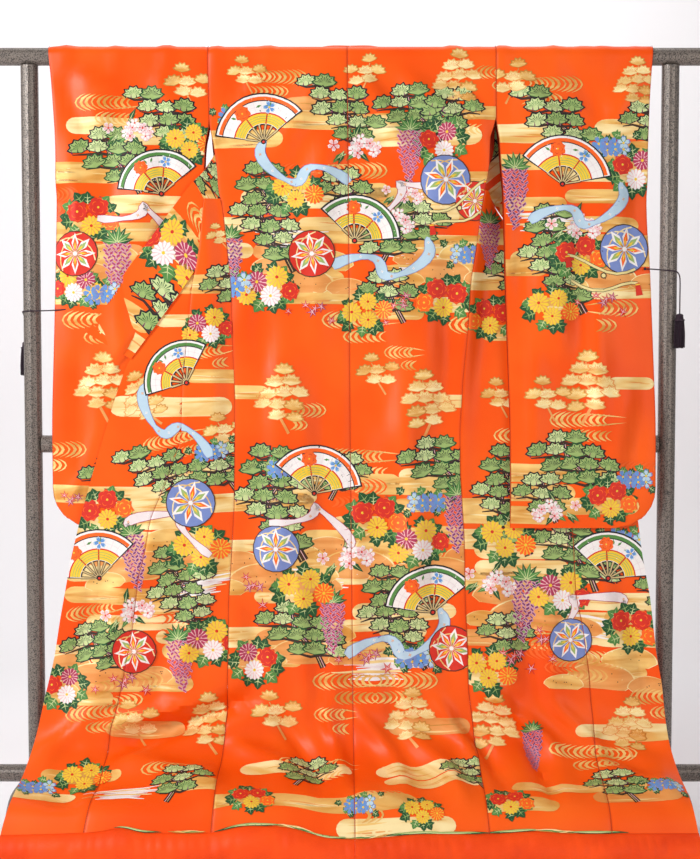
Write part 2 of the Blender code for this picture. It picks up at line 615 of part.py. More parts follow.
def sleeve_face(inner_rows, outer_rows, near, far, side):
    """A sleeve's one strip of cloth: up its near wall, over the rail and down its far wall. The walls
    meet along the bottom and along the outer side below the cuff."""
    arc = math.pi * WRAP_R
    run = RAIL_Z - SLEEVE_BOTTOM_Z
    whole = 2 * run + arc

    def outer_x(z):
        over_corner = clamp((SLEEVE_BOTTOM_Z + SLEEVE_CORNER_R - z) / SLEEVE_CORNER_R)
        cut = SLEEVE_CORNER_R * (1 - math.sqrt(max(0.0, 1 - over_corner**2)))
        return smooth_along(outer_rows, z, 0.03) - side * cut

    def face(u, v):
        place = v * whole
        if place < run:
            z, wall_side, turn = SLEEVE_BOTTOM_Z + place, -1, None
        elif place < run + arc:
            turn = (place - run) / WRAP_R
            z, wall_side = RAIL_Z + WRAP_R * math.sin(turn), 0
        else:
            z, wall_side, turn = RAIL_Z - (place - run - arc), 1, None
        inner, outer = smooth_along(inner_rows, z), outer_x(z)
        share = u if side > 0 else 1 - u
        x = inner + (outer - inner) * share
        if turn is not None:
            return Vector((x, -WRAP_R * math.cos(turn), z))
        near_y, far_y = smooth_along(near, z, 0.03), smooth_along(far, z, 0.03)
        middle = (near_y + far_y) / 2
        half = abs(far_y - near_y) / 2
        shut = CLOTH_T + GAP
        from_outer = abs(outer - x) / 0.05
        closed_below_cuff = ease((RAIL_Z - CUFF_OPEN - z) / 0.05)
        open_side = 1 - closed_below_cuff * (1 - ease(from_outer))
        open_low = ease((z - SLEEVE_BOTTOM_Z) / 0.05)
        room = open_side * open_low
        half = shut + (half - shut) * room
        settle = ease((RAIL_Z - 0.02 - z) / 0.12) * ease((abs(x) - 0.33) / 0.05)
        lift = fold_height(SLEEVE_FOLDS, x, z) * settle * room if wall_side < 0 else 0.0
        return Vector((x, middle + wall_side * half - lift, z))

    return face


def sleeve_rows():
    """Rows up one wall, over the rail and down the other, closest over the rail and at the bottom."""
    arc = math.pi * WRAP_R
    run = RAIL_Z - SLEEVE_BOTTOM_Z
    whole = 2 * run + arc
    heights = (
        0.0, 0.012, 0.030, 0.055, 0.090, 0.16, 0.25, 0.35, 0.45, 0.55, 0.65, 0.75, 0.83, 0.90, 0.96,
    )
    near = [height / whole for height in heights]
    over = [(run + arc * i / 8) / whole for i in range(9)]
    return near + over + [1 - place for place in reversed(near)]


def build_sleeves(finish, parent):
    columns = [0.0, 0.07, 0.14, 0.25, 0.5, 0.75, 0.86, 0.93, 1.0]
    rows = sleeve_rows()
    left = sleeve_face(
        [Edge(edge.z, edge.x - GAP / 2) for edge in SLEEVE_INNER_LEFT],
        SLEEVE_OUTER_LEFT, SLEEVE_NEAR_LEFT, SLEEVE_FAR_LEFT, -1,
    )
    wall("sleeve_left", left, rows, columns, finish, parent, (0.0, -CLOTH_T))
    right = sleeve_face(
        [Edge(edge.z, edge.x + GAP / 2) for edge in SLEEVE_INNER_RIGHT],
        SLEEVE_OUTER_RIGHT, SLEEVE_NEAR_RIGHT, SLEEVE_FAR_RIGHT, 1,
    )
    wall("sleeve_right", right, rows, columns, finish, parent, (0.0, -CLOTH_T))


def build_collar(name, stations, hung_depth, z_hung, columns, finish, parent):
    """A collar half from its stations. Its surface runs midway through its thickness, and below z_hung
    takes its depth from the panel that it is sewn to."""
    seams = [station.seam for station in stations]
    middles = [station.middle for station in stations]
    edges = [station.edge for station in stations]

    def face(u, v):
        seam, middle, edge = (curve_through(line, v) for line in (seams, middles, edges))
        point = seam * (1 - u) * (1 - 2 * u) + middle * 4 * u * (1 - u) + edge * u * (2 * u - 1)
        hung = ease((z_hung - point.z) / 0.05)
        point.y += (hung_depth(point.x, point.z) - point.y) * hung if hung else 0.0
        return point

    rows = even(3 * len(stations) - 2)
    wall(name, face, rows, columns, finish, parent, (-COLLAR_T / 2, COLLAR_T / 2))


def hung_y(x, z, offset):
    return body_point(x, look_up(Z_TO_DROP, z), offset).y


def build_collars(finish, parent):
    def left_depth(x, z):
        under_tuck = CLOTH_T + 2 * GAP + COLLAR_T / 2 + 0.001 * ease((z - 1.24) / 0.08)
        return hung_y(x, z, tuck_offset_left(x, z) + under_tuck)

    def right_depth(x, z):
        clear = GAP + COLLAR_T / 2 + 0.0025 * ease((z - 1.29) / 0.04)
        return hung_y(x, z, offset_right(x, z)) - clear

    columns = even(COLUMN_COUNT)
    build_collar("collar_left", COLLAR_LEFT, left_depth, COLLAR_HUNG_LEFT, columns, finish, parent)
    build_collar("collar_right", COLLAR_RIGHT, right_depth, COLLAR_HUNG_RIGHT, columns, finish, parent)


def build_roll(name, x_start, x_end, finish, parent):
    """A length of the padded hem: an upright oval section that follows the panels' wavy lower edge."""
    sides, count = 14, 15
    mesh = bpy.data.meshes.new(name)
    bm = bmesh.new()
    rings = []
    for share in even(count):
        x = x_start + (x_end - x_start) * share
        top = hem_z(x) - GAP
        half_height = (top - FLOOR_CLEAR) / 2
        ring = []
        for k in range(sides):
            turn = 2 * math.pi * k / sides
            y = ROLL_Y + ROLL_HALF_DEPTH * math.cos(turn)
            z = FLOOR_CLEAR + half_height * (1 + math.sin(turn))
            ring.append(bm.verts.new((x, y, z)))
        rings.append(ring)
    for ring, following in zip(rings, rings[1:]):
        for k in range(sides):
            m = (k + 1) % sides
            bm.faces.new((ring[k], ring[m], following[m], following[k]))
    bm.faces.new(rings[0][::-1])
    bm.faces.new(rings[-1])
    bmesh.ops.recalc_face_normals(bm, faces=bm.faces)
    bm.to_mesh(mesh)
    bm.free()
    mesh.shade_smooth()
    mesh.set_sharp_from_angle(angle=SHARP_ANGLE)
    add_object(name, mesh, finish, parent)


def build_rolls(finish, parent):
    centre = along(CENTRE_SEAM, HEM_TOP_Z)
    build_roll("fuki_left", along(FRONT_EDGE_LEFT, HEM_TOP_Z), centre - GAP / 2, finish, parent)
    build_roll("fuki_right", centre + GAP / 2, along(FRONT_EDGE_RIGHT, HEM_TOP_Z), finish, parent)


def tube(name, points, radius, finish, parent, sides=TUBE_SIDES):
    """A round bar along a list of points, closed at both ends."""
    curve = bpy.data.curves.new(name, "CURVE")
    curve.dimensions = "3D"
    curve.bevel_depth = radius
    curve.bevel_resolution = (sides - 4) // 2
    curve.use_fill_caps = True
    spline = curve.splines.new("POLY")
    spline.points.add(len(points) - 1)
    for place, point in zip(spline.points, points):
        place.co = (*point, 1.0)
    return add_object(name, curve, finish, parent)


def turned(name, profile, finish, parent, location, rotation=(0.0, 0.0, 0.0), sides=TUBE_SIDES):
    """A solid turned about its own Z axis from a profile of (radius, height) points, bottom to top."""
    mesh = bpy.data.meshes.new(name)
    bm = bmesh.new()
    rings = []
    for radius, height in profile:
        turns = [2 * math.pi * k / sides for k in range(sides)]
        rings.append(
            [bm.verts.new((radius * math.cos(t), radius * math.sin(t), height)) for t in turns]
        )
    for ring, following in zip(rings, rings[1:]):
        for k in range(sides):
            m = (k + 1) % sides
            bm.faces.new((ring[k], ring[m], following[m], following[k]))
    bm.faces.new(rings[0][::-1])
    bm.faces.new(rings[-1])
    bmesh.ops.recalc_face_normals(bm, faces=bm.faces)
    bm.to_mesh(mesh)
    bm.free()
    mesh.shade_smooth()
    mesh.set_sharp_from_angle(angle=SHARP_ANGLE)
    obj = add_object(name, mesh, finish, parent)
    obj.location = location
    obj.rotation_euler = rotation
    return obj


def build_rails(steel, rubber, parent):
    half = UPRIGHT_X - FOOT_R - GAP
    tube("top_rail", ((-RAIL_HALF, 0, RAIL_Z), (RAIL_HALF, 0, RAIL_Z)), TUBE_R, steel, parent)
    tube("low_rail", ((-half, 0, LOW_RAIL_Z), (half, 0, LOW_RAIL_Z)), TUBE_R, steel, parent)
    half = UPRIGHT_X - TUBE_R - GAP
    tube("mid_rail", ((-half, 0, MID_RAIL_Z), (half, 0, MID_RAIL_Z)), TUBE_R, steel, parent)
    start = UPRIGHT_X + FOOT_R + GAP
    for side, word in ((-1, "left"), (1, "right")):
        ends = ((side * start, 0, LOW_RAIL_Z), (side * RAIL_HALF, 0, LOW_RAIL_Z))
        tube(f"low_end_{word}", ends, TUBE_R, steel, parent)
        for rail, height in (("top", RAIL_Z), ("low", LOW_RAIL_Z)):
            reach = TUBE_R + CAP_WALL
            profile = ((TUBE_R * 0.7, 0.0), (TUBE_R, 0.001), (TUBE_R, 0.003), (TUBE_R * 0.8, 0.005))
            profile = tuple((r * reach / TUBE_R, h) for r, h in profile)
            turned(
                f"{rail}_cap_{word}", profile, rubber, parent,
                (side * (RAIL_HALF + GAP), 0, height), (0, side * math.pi / 2, 0),
            )


def build_uprights(steel, parent):
    bottom = LOW_RAIL_Z + FOOT_R + GAP
    top = RAIL_Z - TUBE_R - GAP
    for side, word in ((-1, "left"), (1, "right")):
        ends = ((side * UPRIGHT_X, 0, bottom), (side * UPRIGHT_X, 0, top))
        tube(f"upright_{word}", ends, TUBE_R, steel, parent)


def foot_path(side):
    """An arch from front to back under an upright, with a rounded bend above each end."""
    bends = []
    bend_steps = 7
    for i in range(bend_steps + 1):
        turn = math.pi / 2 * i / bend_steps
        bends.append(
            (
                FOOT_REACH - FOOT_BEND_R * (1 - math.sin(turn)),
                LOW_RAIL_Z - FOOT_BEND_R * (1 - math.cos(turn)),
            )
        )
    half = [(0.06, LOW_RAIL_Z)] + bends + [(FOOT_REACH, TIP_HEIGHT + GAP)]
    front = [(side * UPRIGHT_X, -y, z) for y, z in reversed(half)]
    back = [(side * UPRIGHT_X, y, z) for y, z in half]
    return front + back


def build_feet(steel, rubber, parent):
    profile = (
        (TIP_R - 0.003, 0.0), (TIP_R - 0.0008, 0.001), (TIP_R, 0.003),
        (TIP_R, TIP_HEIGHT - 0.004), (FOOT_R, TIP_HEIGHT),
    )
    for side, word in ((-1, "left"), (1, "right")):
        tube(f"foot_{word}", foot_path(side), FOOT_R, steel, parent, 16)
        for way, end in ((-1, "front"), (1, "back")):
            place = (side * UPRIGHT_X, way * FOOT_REACH, 0.0)
            turned(f"tip_{word}_{end}", profile, rubber, parent, place)


def cord_points(route, count=30):
    return [curve_through(route, i / (count - 1)) for i in range(count)]


def strand(bm, foot, top, lean):
    """One thread of a tassel: a slim three-sided bar from inside the head down to its free end."""
    sides = 3
    rings = []
    for share in (0.0, 0.45, 1.0):
        centre = Vector(top).lerp(Vector(foot), share)
        radius = STRAND_R * (1.0 if share < 1.0 else 0.75)
        ring = []
        for k in range(sides):
            turn = lean + 2 * math.pi * k / sides
            ring.append(
                bm.verts.new(centre + Vector((radius * math.cos(turn), radius * math.sin(turn), 0)))
            )
        rings.append(ring)
    for ring, following in zip(rings, rings[1:]):
        for k in range(sides):
            m = (k + 1) % sides
            bm.faces.new((ring[k], ring[m], following[m], following[k]))
    bm.faces.new(rings[0][::-1])
    bm.faces.new(rings[-1])


def build_tassel(name, top, finish, parent):
    """A turned head with its threads fused into its underside."""
    x, y, z = top
    head_profile = (
        (TASSEL_HEAD_R * 1.25, -TASSEL_HEAD_HEIGHT), (TASSEL_HEAD_R * 1.3, -TASSEL_HEAD_HEIGHT * 0.8),
        (TASSEL_HEAD_R, -TASSEL_HEAD_HEIGHT * 0.55), (TASSEL_HEAD_R, -TASSEL_HEAD_HEIGHT * 0.3),
        (TASSEL_HEAD_R * 0.75, -TASSEL_HEAD_HEIGHT * 0.1), (TASSEL_HEAD_R * 0.3, 0.0),
    )
    head = turned(name, head_profile, finish, parent, (x, y, z), sides=16)
    mesh = bpy.data.meshes.new(f"{name}_threads")
    bm = bmesh.new()
    for ring_r, number in TASSEL_RINGS:
        for k in range(number):
            turn = 2 * math.pi * (k + 0.5) / number
            out = Vector((ring_r * math.cos(turn), ring_r * math.sin(turn), 0))
            uneven = 0.0022 * math.sin(5 * turn + 300 * ring_r)
            start = out + Vector((0, 0, -TASSEL_HEAD_HEIGHT + 0.003))
            end = out * 1.22 + Vector((0, 0, -TASSEL_LENGTH + 0.0022 + uneven))
            strand(bm, end, start, turn)
    bmesh.ops.recalc_face_normals(bm, faces=bm.faces)
    bm.to_mesh(mesh)
    bm.free()
    threads = add_object(f"{name}_threads", mesh, finish, parent)
    threads.location = (x, y, z)
    threads.hide_render = True
    threads.display_type = "WIRE"
    join = head.modifiers.new("threads", "BOOLEAN")
    join.operation = "UNION"
    join.object = threads


def build_ties(finish, parent):
    ball = [(math.sin(math.pi * i / 8), -math.cos(math.pi * i / 8)) for i in range(9)]
    ball = [(max(KNOT_R * r, KNOT_R * 0.1), KNOT_R * h) for r, h in ball]
    for word, route, knot in (("left", CORD_LEFT, KNOT_LEFT), ("right", CORD_RIGHT, KNOT_RIGHT)):
        tube(f"cord_{word}", cord_points(route), CORD_R, finish, parent, 8)
        turned(f"knot_{word}", ball, finish, parent, knot, sides=12)
        x, y, z = route[-1]
        build_tassel(f"tassel_{word}", (x, y, z - GAP), finish, parent)


def build():
    clear_scene()
    rack_centre = bpy.data.objects.new("rack_centre", None)
    rack_centre.location = (0.0, RACK_Y, 0.0)
    bpy.context.scene.collection.objects.link(rack_centre)
    satin = material("satin", (0.92, 0.15, 0.02), 0.42)
    lining = material("lining", (0.85, 0.09, 0.02), 0.5)
    steel = material("steel", (0.17, 0.15, 0.13), 0.4, 0.35)
    rubber = material("rubber", (0.03, 0.03, 0.03), 0.7)
    silk = material("silk", (0.05, 0.02, 0.06), 0.5)
    build_rails(steel, rubber, rack_centre)
    build_uprights(steel, rack_centre)
    build_feet(steel, rubber, rack_centre)
    build_backs(satin, rack_centre)
    build_shoulders(satin, rack_centre)
    build_fronts(satin, rack_centre)
    build_sleeves(satin, rack_centre)
    build_collars(satin, rack_centre)
    build_rolls(lining, rack_centre)
    build_ties(silk, rack_centre)


build()
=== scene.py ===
"""An uchikake wedding kimono hung open on a tubular garment rack: cloth, woven figures and finishes.

Units are metres, +Z is up, and the garment's back faces -Y. Cloth is laid out with the rack's rails in
the plane Y = 0, as in the part's source, and carried by RACK_Y to its place.
"""

import random
from collections import namedtuple
from functools import cache
from math import atan2, cos, hypot, pi, radians, sin, sqrt

import bmesh
import bpy
import numpy as np
from bpy.props import FloatProperty, FloatVectorProperty, IntProperty, PointerProperty
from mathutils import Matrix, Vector


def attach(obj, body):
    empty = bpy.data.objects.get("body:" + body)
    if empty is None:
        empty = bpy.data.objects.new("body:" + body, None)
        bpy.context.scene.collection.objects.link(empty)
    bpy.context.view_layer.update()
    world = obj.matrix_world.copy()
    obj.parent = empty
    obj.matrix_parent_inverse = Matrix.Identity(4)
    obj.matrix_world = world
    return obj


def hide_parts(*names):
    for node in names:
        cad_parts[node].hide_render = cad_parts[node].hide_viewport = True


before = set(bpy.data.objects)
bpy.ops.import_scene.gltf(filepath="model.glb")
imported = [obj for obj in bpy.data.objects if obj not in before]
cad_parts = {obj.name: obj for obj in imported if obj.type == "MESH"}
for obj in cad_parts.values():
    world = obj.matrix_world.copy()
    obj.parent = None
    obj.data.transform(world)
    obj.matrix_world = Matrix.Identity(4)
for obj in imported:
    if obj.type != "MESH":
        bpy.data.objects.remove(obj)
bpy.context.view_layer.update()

bl_info = {
    "name": "Uchikake kimono on a rack",
    "version": (1, 0, 0),
    "blender": (4, 5, 0),
    "location": "View3D > Sidebar > Kimono",
    "description": "Builds a wedding kimono's cloth, woven figures, padded hem and ties on its rack",
    "category": "Add Mesh",
}

# ---- Sizes and colours that a user would change ----


def thread(hex_value):
    """A linear colour from a dyer's six-digit one."""
    parts = [int(hex_value[i : i + 2], 16) / 255 for i in (0, 2, 4)]
    return tuple(p / 12.92 if p <= 0.04045 else ((p + 0.055) / 1.055) ** 2.4 for p in parts)


def length(name, description, default, low=0.0, high=10.0):
    return FloatProperty(
        name=name, description=description, default=default, min=low, max=high, unit="LENGTH", precision=4
    )


def colour(name, description, hex_value):
    return FloatVectorProperty(
        name=name, description=description, default=thread(hex_value), size=3, min=0, max=1, subtype="COLOR"
    )


class KimonoSizes(bpy.types.PropertyGroup):
    cell: length("Cloth cell", "Spacing of the points in a cloth panel's mesh", 0.014, 0.004, 0.05)
    cloth: length("Cloth thickness", "Outer silk, padding and lining together", 0.002, 0.001, 0.004)
    collar: length("Collar thickness", "The folded collar band", 0.0035, 0.002, 0.006)
    figure_lift: length("Figure lift", "How far the woven figures stand off the ground silk", 0.0006)
    layer_step: length("Layer step", "The rise from one thread layer to the next", 0.000012)
    seam_dip: length("Seam dip", "How deep a sewn seam sinks", 0.0014)
    seam_reach: length("Seam reach", "How wide a sewn seam's dip is", 0.0032)
    gather: length("Hem gathers", "Depth of the fine gathers on the padded hem", 0.0022)
    crease: FloatProperty(name="Creases", description="How strong the small creases are", default=4.4, min=0, max=8)
    cord: length("Cord radius", "Half the thickness of the tie cords", 0.0014, 0.0005, 0.004)
    strands: IntProperty(
        name="Tassel strands", description="Silk threads that hang from each tassel's head", default=96, min=12,
        max=124,
    )


class KimonoColours(bpy.types.PropertyGroup):
    satin: colour("Satin", "Ground of the outer silk", "F24C02")
    # The second satin tone is painted sheen: a paler orange that the weave's slow drift mixes into the ground in random
    # patches.
    satin_painted_sheen: colour("Satin lights", "Ground silk where its floats catch the light", "FF6816")
    lining: colour("Lining", "Plain lining silk", "D8401C")
    hem: colour("Padded hem", "Silk of the padded hem roll", "FF5210")
    # The darker hem tone is painted shade of the gathers, which the weave's drift lays in random patches along the
    # roll.
    hem_painted_shade: colour("Hem shade", "Hem silk down in the gathers", "E23C08")
    tie: colour("Ties", "Cords and tassels", "34202F")
    paint: colour("Rack paint", "Hammered paint of the rack", "80756C")
    paint_speck: colour("Paint specks", "Dark specks in the hammered paint", "3A3430")
    rubber: colour("Rubber", "Caps and foot tips", "1C1B1C")
    floor: colour("Floor", "Floor and backdrop", "F4F3F4")


# Threads of the woven figures: name, main colour, second colour, roughness, how metallic
Thread = namedtuple("Thread", "main second rough metal")
# The seam row is no figure's thread but the dark orange of the painted shade down the sewn seams.
THREADS = {
    name: Thread(main, second, float(rough), float(metal))
    for name, main, second, rough, metal in (row.split() for row in """
    gold F8CE7C D8923A 0.4 0.1, pale_gold FDE8AC E6B460 0.38 0.06, deep_gold D99A48 C07E30 0.42 0.12,
    amber EFA860 DE8A40 0.42 0.06, black 161418 28242A 0.55 0, bark 4A3020 2C1C14 0.6 0, pine 23572E 143C20 0.55 0,
    green 5A8E46 3C7034 0.5 0, mint D2DDA0 A8BE70 0.48 0, sand D9C08A BFA068 0.5 0.05, red DE3220 BC2014 0.48 0,
    white F6F0EC E2DCD8 0.45 0, pink F3C3C4 E6A6AA 0.46 0, yellow F4CE3C E0AE24 0.46 0, blue 6C9BD6 4C7CC0 0.48 0,
    pale_blue BFD6E4 A4C2D6 0.45 0, navy 1E2448 141830 0.52 0, purple 7A2A5E 5A1C48 0.5 0,
    magenta B93A5C 98284A 0.5 0, orange FD6A1E F05A14 0.46 0, leaf A2BA70 7A9850 0.5 0,
    dusk_blue 7D8FC6 6276B4 0.48 0, mist EFE2E0 DCCFD2 0.46 0, straw EFDF9C DCC67C 0.46 0.05,
    seam B4340A 942806 0.6 0, lilac D9A6C0 BE84A8 0.48 0""".split(","))
}
THREAD_NAMES = tuple(THREADS)

# Rack
TUBE_R = 0.019
RAIL_Z = 1.687
FOOT_REACH = 0.245
TIP_R = 0.022

# Cloth
GAP = 0.0003
SEAM = 0.00005
# A dark strip of painted shade down each sewn seam: its width, and its layer over the figures.
SEAM_SHADE_WIDTH = 0.0008
SEAM_SHADE_LAYER = 118.0
CLOTH_T = 0.002
COLLAR_T = 0.0035
SEAT_GAP = 0.0004
WRAP_R = TUBE_R + SEAT_GAP + CLOTH_T
HEM_TOP_Z = 0.078
HEM_STRETCH = 0.22
FLOOR_CLEAR = 0.002
ROLL_Y = -0.2965
ROLL_HALF_DEPTH = 0.026
CUFF_OPEN = 0.26
SLEEVE_BOTTOM_Z = 0.67
SLEEVE_CORNER_R = 0.085
SLEEVE_WIDTH = 0.325
SLEEVE_MIDDLE = 0.485
SHOULDER_WIDTH = 0.2
BACK_WIDTH = 0.29
FRONT_WIDTH = 0.23
OKUMI_WIDTH = 0.165
COLLAR_WIDTH = 0.086
COLLAR_LENGTH = 0.9
# How much wider a crease is than its row says, and the deepest that it goes on the body and on a sleeve
CREASE_SPREAD = 1.45
BODY_CREASE_FLOOR = -0.0035
SLEEVE_CREASE_FLOOR = -0.0055
BUNCH_HEIGHT = 0.0042
HEM_STEP = 0.0055
SILK_GLOSS = 0.22

# A panel's grid: its first columns from a seam, its rows over the rail, and how much longer the others are
SEAM_COLUMNS = (0.0, 0.0028, 0.007)
RAIL_REACH = 0.045
RAIL_ROW = 0.005
ROW_STRETCH = 1.45
PROBE = 0.003

# Figures: how far past a panel one is looked for, how bent a cell is before it is cut on its diagonal, and
# the least area of a triangle
FIGURE_REACH = 0.25
FLAT = 0.00003
SLIVER = 8e-10

# Camera
CAMERA_DISTANCE = 3.2
CAMERA_Z = 1.055
CAMERA_DIP = 3.1

# Cords and tassels
TASSEL_HEAD_R = 0.0085
TASSEL_HEAD_HEIGHT = 0.016
TASSEL_LENGTH = 0.08
TASSEL_R = 0.01
STRAND_R = 0.00085
STRAND_TURN = 2.39996
STRAND_STEPS = 6

FRONT_REACH = -ROLL_Y + ROLL_HALF_DEPTH
BACK_REACH = FOOT_REACH + TIP_R
RACK_Y = (FRONT_REACH - BACK_REACH) / 2

Edge = namedtuple("Edge", "z x")
Fall = namedtuple("Fall", "y z")
Depth = namedtuple("Depth", "z y")
Hem = namedtuple("Hem", "x z")
Fold = namedtuple("Fold", "x0 z0 x1 z1 width height")
Station = namedtuple("Station", "seam middle edge")


def rows(kind, text):
    """A table from its rows in millimetres, split by commas. A station is three points; None keeps one plain."""
    out = []
    for line in text.split(","):
        cells = [float(cell) / 1000 for cell in line.split()]
        if kind is Station:
            cells = [tuple(cells[k : k + 3]) for k in (0, 3, 6)]
        out.append(kind(*cells) if kind else tuple(cells))
    return tuple(out)


# The line that the body cloth falls along below the rail, seen from the side.
FALL = rows(Fall, """
    -21.4 1687, -26.5 1450, -30 1100, -31 850, -36 550, -38.5 360, -43 270, -60 214, -102 178, -158 156, -216 142,
    -262 120, -288 78, -296 50""")

CENTRE_SEAM = rows(Edge, """
    1720 -6.4, 945 0, 300 6, 50 10.5""")

SIDE_LEFT = rows(Edge, """
    1720 -305.6, 1535 -302.2, 1499 -293.8, 1443 -285.5, 1394 -283.6, 1371 -275.1, 1275 -264.8, 1187 -256.5,
    1055 -252.8, 945 -248.9, 704 -252.1, 511 -263.9, 363 -266.7, 240 -269.6, 150 -277, 50 -283""")
SIDE_RIGHT = rows(Edge, """
    1720 313, 1543 313.8, 1519 301, 1445 299.3, 1415 293, 1352 281.6, 1296 275.4, 1206 260.8, 1099 254.8, 990 244.4,
    882 238.4, 795 238.7, 643 248.1, 511 250.8, 412 255.6, 315 258.2, 264 265, 180 275, 130 279, 50 284""")

# The left front panel's outer side: the edge of its long tuck, then the seam with the okumi.
TUCK_LEFT = rows(Edge, """
    1440 -306, 1371 -313.9, 1263 -325.2, 1186 -340.6, 1109 -347.5, 976 -361.2, 862 -364.1, 808 -383.8, 765 -399.2,
    693 -432.1, 602 -447.9, 562 -459, 425 -477.5, 337 -494.9, 225 -520, 150 -529, 50 -543""")
# The left okumi's outer side: the seam with the collar, then the garment's front edge.
FRONT_EDGE_LEFT = rows(Edge, """
    1228 -336, 1128 -405.3, 1042 -470.3, 1034 -476.8, 995 -492.2, 937 -512, 849 -538.7, 775 -560.9, 695 -583.3,
    604 -605.8, 471 -631.1, 383 -645, 290 -668, 205 -685, 155 -692, 130 -696, 78 -707, 50 -709""")
# The same two lines on the right, where the upper part is hidden behind the sleeve.
OKUMI_SEAM_RIGHT = rows(Edge, """
    1400 296, 1375 311, 1355 323, 1335 336, 1290 372, 1215 418, 1000 438, 800 466, 648 485.9, 523 491.3, 451 507.1,
    350 521.2, 235 529.3, 150 528.5, 50 530""")
FRONT_EDGE_RIGHT = rows(Edge, """
    1200 430.5, 1060 524, 1040 529, 900 565, 780 602, 688 627, 608 636.6, 523 652.7, 400 667.2, 325 681.2, 235 689.2,
    175 695.5, 148 697, 78 705, 50 707""")

SLEEVE_INNER_LEFT = rows(Edge, """
    1720 -305.6, 1535 -302.2, 1499 -311, 1447 -313.5, 1322 -319, 1125 -325, 905 -331, 670 -335""")
SLEEVE_INNER_RIGHT = rows(Edge, """
    1720 313, 1543 313.8, 1513 320.4, 1445 325.1, 1395 329.7, 1322 332.3, 1205 335.1, 1125 337.7, 975 342.9,
    905 345.5, 755 347.5, 670 346.9""")
SLEEVE_OUTER_LEFT = rows(Edge, """
    1720 -649.5, 1615 -639.7, 1496 -632.5, 1335 -634.2, 1163 -638.2, 905 -645.4, 670 -645""")
SLEEVE_OUTER_RIGHT = rows(Edge, """
    1720 651.6, 1615 644, 1472 639.2, 1335 640.7, 1234 648.3, 905 660.6, 670 662""")

# Outer faces of each sleeve's two walls: the one towards the camera side (-Y), and the far one.
SLEEVE_NEAR_LEFT = rows(Depth, """
    1650 -21.4, 1450 -26.5, 1200 -29.5, 870 -34, 670 -34""")
SLEEVE_FAR_LEFT = rows(Depth, """
    1650 21.4, 1450 12, 1200 -2, 950 -19.5, 870 -22.5, 670 -22.5""")
SLEEVE_NEAR_RIGHT = rows(Depth, """
    1650 -21.4, 1450 -26.5, 1200 -31, 870 -43, 670 -46""")
SLEEVE_FAR_RIGHT = rows(Depth, """
    1650 21.4, 1450 10, 1200 -6, 950 -24.5, 870 -30, 670 -32""")

# Outer faces of the fronts where they cross the sleeves, before they join the body's fall line again.
FRONT_DEPTH_LEFT = rows(Depth, """
    1440 -29, 1370 -34.5, 1200 -36.5, 870 -40.5, 660 -40.5, 500 -38.5, 360 -38.5""")
FRONT_DEPTH_RIGHT = rows(Depth, """
    1420 23, 1330 15, 1200 2, 1000 -16, 880 -25.5, 680 -26.5, 600 -30, 500 -37, 360 -38.5""")
# How far out from the side seam a front has reached its own depth.
FRONT_TURN_LEFT = 0.05
FRONT_TURN_RIGHT = 0.036
TUCK_LIFT = 0.0064
TUCK_UNDER = 0.014
TUCK_END_Z = 0.8
TUCK_FLAT_Z = 0.7

SHOULDER_DEPTH = rows(Depth, """
    1687 21.4, 1600 19.5, 1540 15, 1480 5, 1400 -16""")
SHOULDER_INNER_LEFT = rows(Edge, """
    1720 -96, 1660 -110, 1390 -264""")
SHOULDER_OUTER_LEFT = rows(Edge, """
    1720 -305.6, 1535 -302.2, 1470 -296, 1390 -274""")
SHOULDER_INNER_RIGHT = rows(Edge, """
    1720 96, 1660 110, 1425 278""")
SHOULDER_OUTER_RIGHT = rows(Edge, """
    1720 313, 1543 313.8, 1480 312, 1425 290""")

HEM = rows(Hem, """
    -720 76, -590 79, -510 82, -460 92, -425 80, -280 80, -215 94, -120 91, -50 71, 20 69, 140 79, 280 78, 370 84,
    450 79, 720 80""")

# Main folds of the body cloth: ridges above nought, troughs below, between two points of its face.
BODY_FOLDS = rows(Fold, """
    -90 1660 -170 1520 30 4, 80 1640 290 1500 26 5, 50 1600 250 1450 24 -4, 100 1400 140 620 45 5,
    -130 1300 -110 550 45 5, 20 1200 30 400 30 -4.5, -200 310 -450 215 26 -10, -220 250 -520 165 24 11,
    -460 400 -600 235 28 8, 70 300 220 170 26 10, 40 190 200 140 20 -8, 270 340 440 190 26 12, 300 260 500 150 22 -9,
    500 260 660 225 22 8, -100 260 20 165 26 -8, -330 155 -200 130 22 7""")
SLEEVE_FOLDS = rows(Fold, """
    -620 1640 -500 1550 30 4, -440 1600 -460 850 35 4, -560 1400 -540 800 30 3.5, 430 1600 420 800 35 4,
    570 1620 550 820 35 4.5, 500 1350 490 750 25 -3""")

# The collar from the centre back to each front end, by its sewn edge, middle and free edge.
COLLAR_LEFT = rows(Station, """
    -0.2 2.2 1708.15 -0.2 28.5 1700 -0.2 32.5 1628, -50 2.8 1708.15 -54 28.5 1698 -60 32.5 1630,
    -86 18 1703 -90 28 1672 -96 26 1636, -100 25 1660 -116 16 1630 -140 9 1626, -150 6 1570 -186 5 1582 -220 2 1592,
    -208 -6 1470 -240 -8 1495 -268 -8 1516, -256 -19 1382 -284 -22.5 1416 -310 -32 1444,
    -296 -33 1298 -326 -36 1352 -350 -36 1400, -338 -38.5 1219 -386 -38.5 1270 -430 -38.5 1293,
    -402 -38.5 1129 -452 -38.5 1170 -502 -38.5 1195, -472 -38.5 1036 -520 -38.5 1064 -566.5 -38.5 1092""")
COLLAR_RIGHT = rows(Station, """
    0.2 2.2 1708.15 0.2 28.5 1700 0.2 32.5 1628, 50 2.8 1708.15 56 28.5 1699 64 33 1632,
    86 18 1703 104 31 1680 130 33 1650, 106 28 1660 150 30 1660 198 31 1660, 156 27 1590 204 28 1613 252 29 1636,
    220 24 1500 270 25 1532 320 26 1566, 290 18 1405 340 21 1445 390 23 1478, 368 9.5 1290 422 12 1326 470 14 1360,
    450 -3 1165 504 0 1196 552 3 1228, 518 -13 1062 572 -10 1096 618 -7 1126""")

